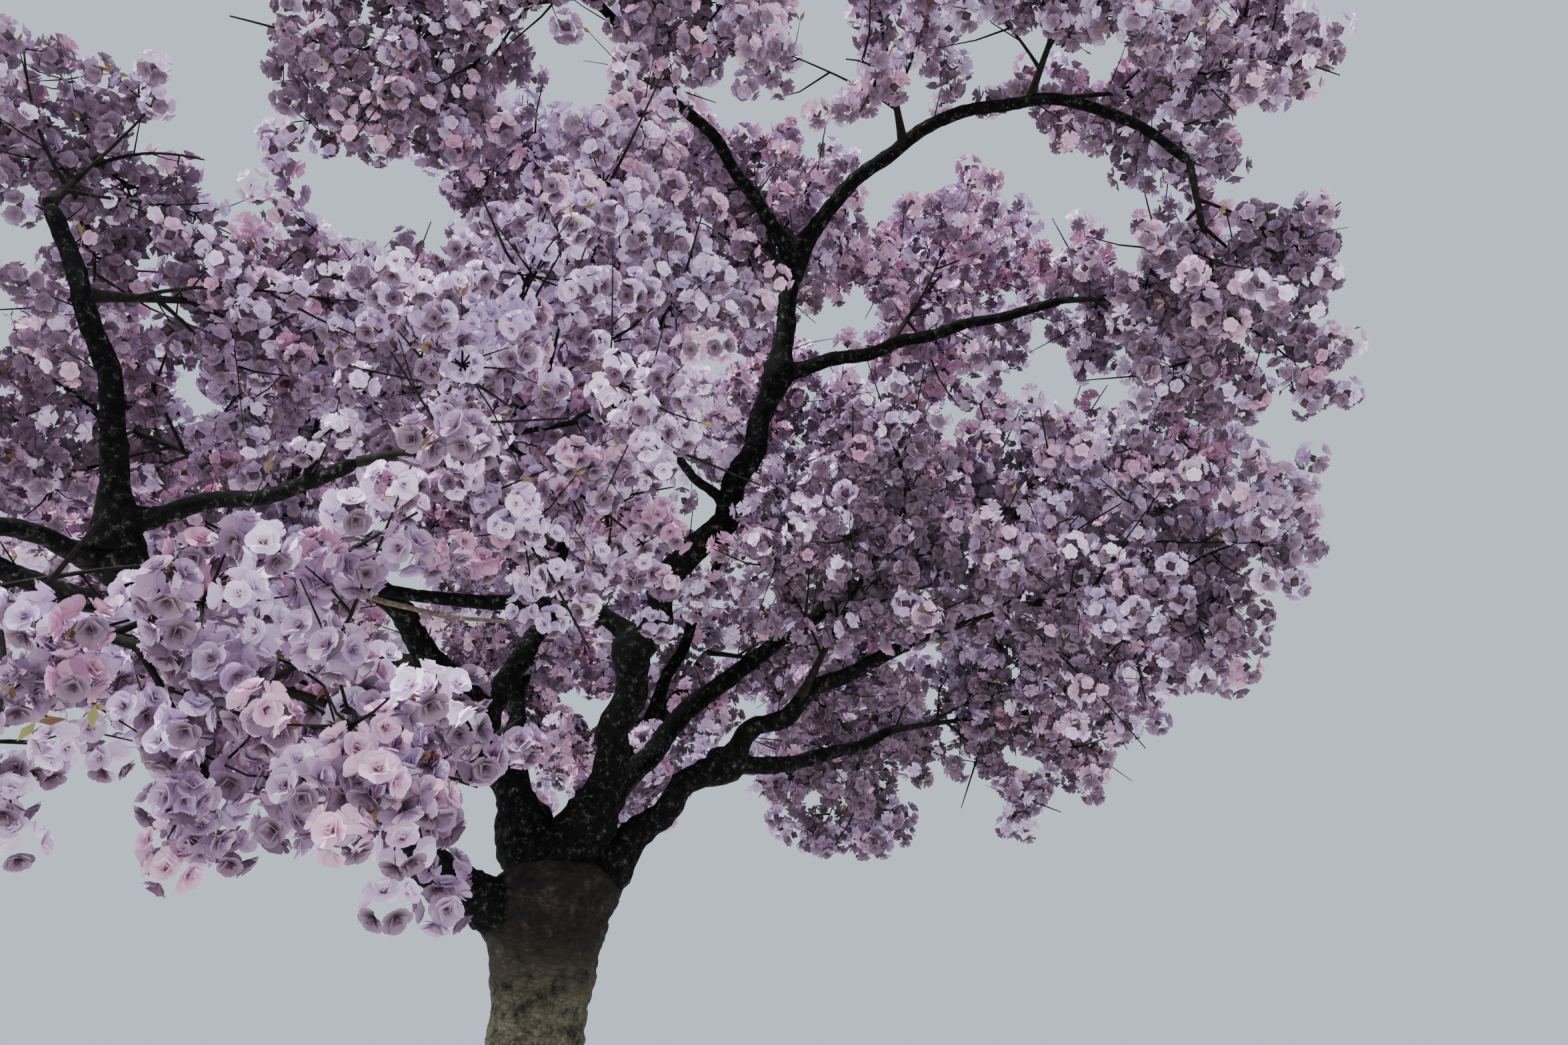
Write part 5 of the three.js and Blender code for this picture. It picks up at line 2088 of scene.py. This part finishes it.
    def leaves(self, roots: Array, middles: Array) -> list[Piece]:
        """Young folded leaves at shoot tips and beside balls, in two plain tints.

        Args:
            roots: where each ball's stalk leaves its shoot.
            middles: the middle of each ball.

        Returns:
            One piece for each tint.
        """
        rng = np.random.default_rng(Seed.LEAVES)
        tips = self.wood.shoots.paths[:, -1]
        ahead = unit(tips - self.wood.shoots.paths[:, -2])
        at_tips = np.repeat(np.flatnonzero(rng.random(len(tips)) < self.leafy_tips), 2)
        at_balls = np.flatnonzero(rng.random(len(roots)) < self.leafy_balls)
        places = np.concatenate([tips[at_tips], roots[at_balls]])
        out = unit(middles - roots)[at_balls] * self.leaf_ahead[1]
        pointing = np.concatenate([ahead[at_tips] * self.leaf_ahead[0], out])
        frames = random_frames(unit(pointing + rng.normal(size=places.shape) * self.leaf_scatter), rng)
        sizes = rng.uniform(*self.leaf_size, len(places))
        outline = np.array([(0, 0, 0), (0.20, 0.06, 0.45), (-0.20, 0.06, 0.45), (0, 0.10, 1.0),
                            (0, -0.03, 0.5)])
        leaf = Shape(outline, NO_QUADS, np.array([(0, 4, 1), (4, 3, 1), (0, 2, 4), (4, 2, 3)]))
        pieces = []
        for tint in LeafTint:
            name = f"leaves_{tint.name.lower()}"
            colour, share = tint.value
            mine = rng.random(len(places)) < share
            shape = copies(leaf, places[mine], frames[mine], sizes[mine])
            finish = PlainFinish(f"young_cherry_{name}", colour, self.leaf_roughness)
            pieces.append(make_piece(name, shape, finish.material()))
            places, frames, sizes = places[~mine], frames[~mine], sizes[~mine]
        return pieces


@dataclass
class Studio:
    """A plain pale floor, plain soft light and the camera at the photo's angle."""

    floor_size: float = 60.0
    sun_strength: float = 7.6
    sun_azimuth: float = -152.0
    sun_rise: float = 60.0
    sun_softness: float = 14.0
    sky_colour: str = "#d5e2f2"
    sky_strength: float = 1.0

    def build(self) -> None:
        """Makes the floor, the lights and the camera."""
        half = self.floor_size / 2
        corners = np.array([(-half, -half, 0), (half, -half, 0), (half, half, 0), (-half, half, 0)], float)
        floor = make_piece("studio_floor", Shape(corners, np.array([(0, 1, 2, 3)]), np.empty((0, 3), int)),
                           PlainFinish("pale_studio_floor", "#d9d8d3", 0.9).material(), smooth=False)
        world = bpy.data.worlds.new("studio_sky")
        world.use_nodes = True
        world.node_tree.nodes["Background"].inputs["Color"].default_value = linear(self.sky_colour)
        world.node_tree.nodes["Background"].inputs["Strength"].default_value = self.sky_strength
        bpy.context.scene.world = world
        lamp = bpy.data.lights.new("studio_sun", "SUN")
        lamp.energy = self.sun_strength
        lamp.angle = math.radians(self.sun_softness)
        sun = bpy.data.objects.new("studio_sun", lamp)
        towards = heading(self.sun_azimuth, self.sun_rise)
        sun.rotation_euler = Vector(towards).to_track_quat("Z", "Y").to_euler()
        bpy.context.scene.collection.objects.link(sun)
        lens = bpy.data.cameras.new("photo_camera")
        lens.lens = CAMERA_LENS_MM
        lens.sensor_width = CAMERA_SENSOR_MM
        camera = bpy.data.objects.new("photo_camera", lens)
        camera.location = CAMERA_PLACE
        camera.rotation_euler = (math.radians(90 + CAMERA_PITCH_DEG), 0, 0)
        bpy.context.scene.collection.objects.link(camera)
        bpy.context.scene.camera = camera


def main() -> None:
    """Builds the trunk, the limbs, the crown and the studio."""
    logging.basicConfig(level=logging.INFO, format="%(message)s")
    trunk = Trunk()
    rule = GrowthRule(trunk.solid_path(), trunk.solid_radii())
    trunk.build(rule)
    LimbBark(rule).build()
    wood = CrownTwigs(rule).build()
    Blossom(wood, rule).build()
    Studio().build()


if __name__ == "__main__":
    main()
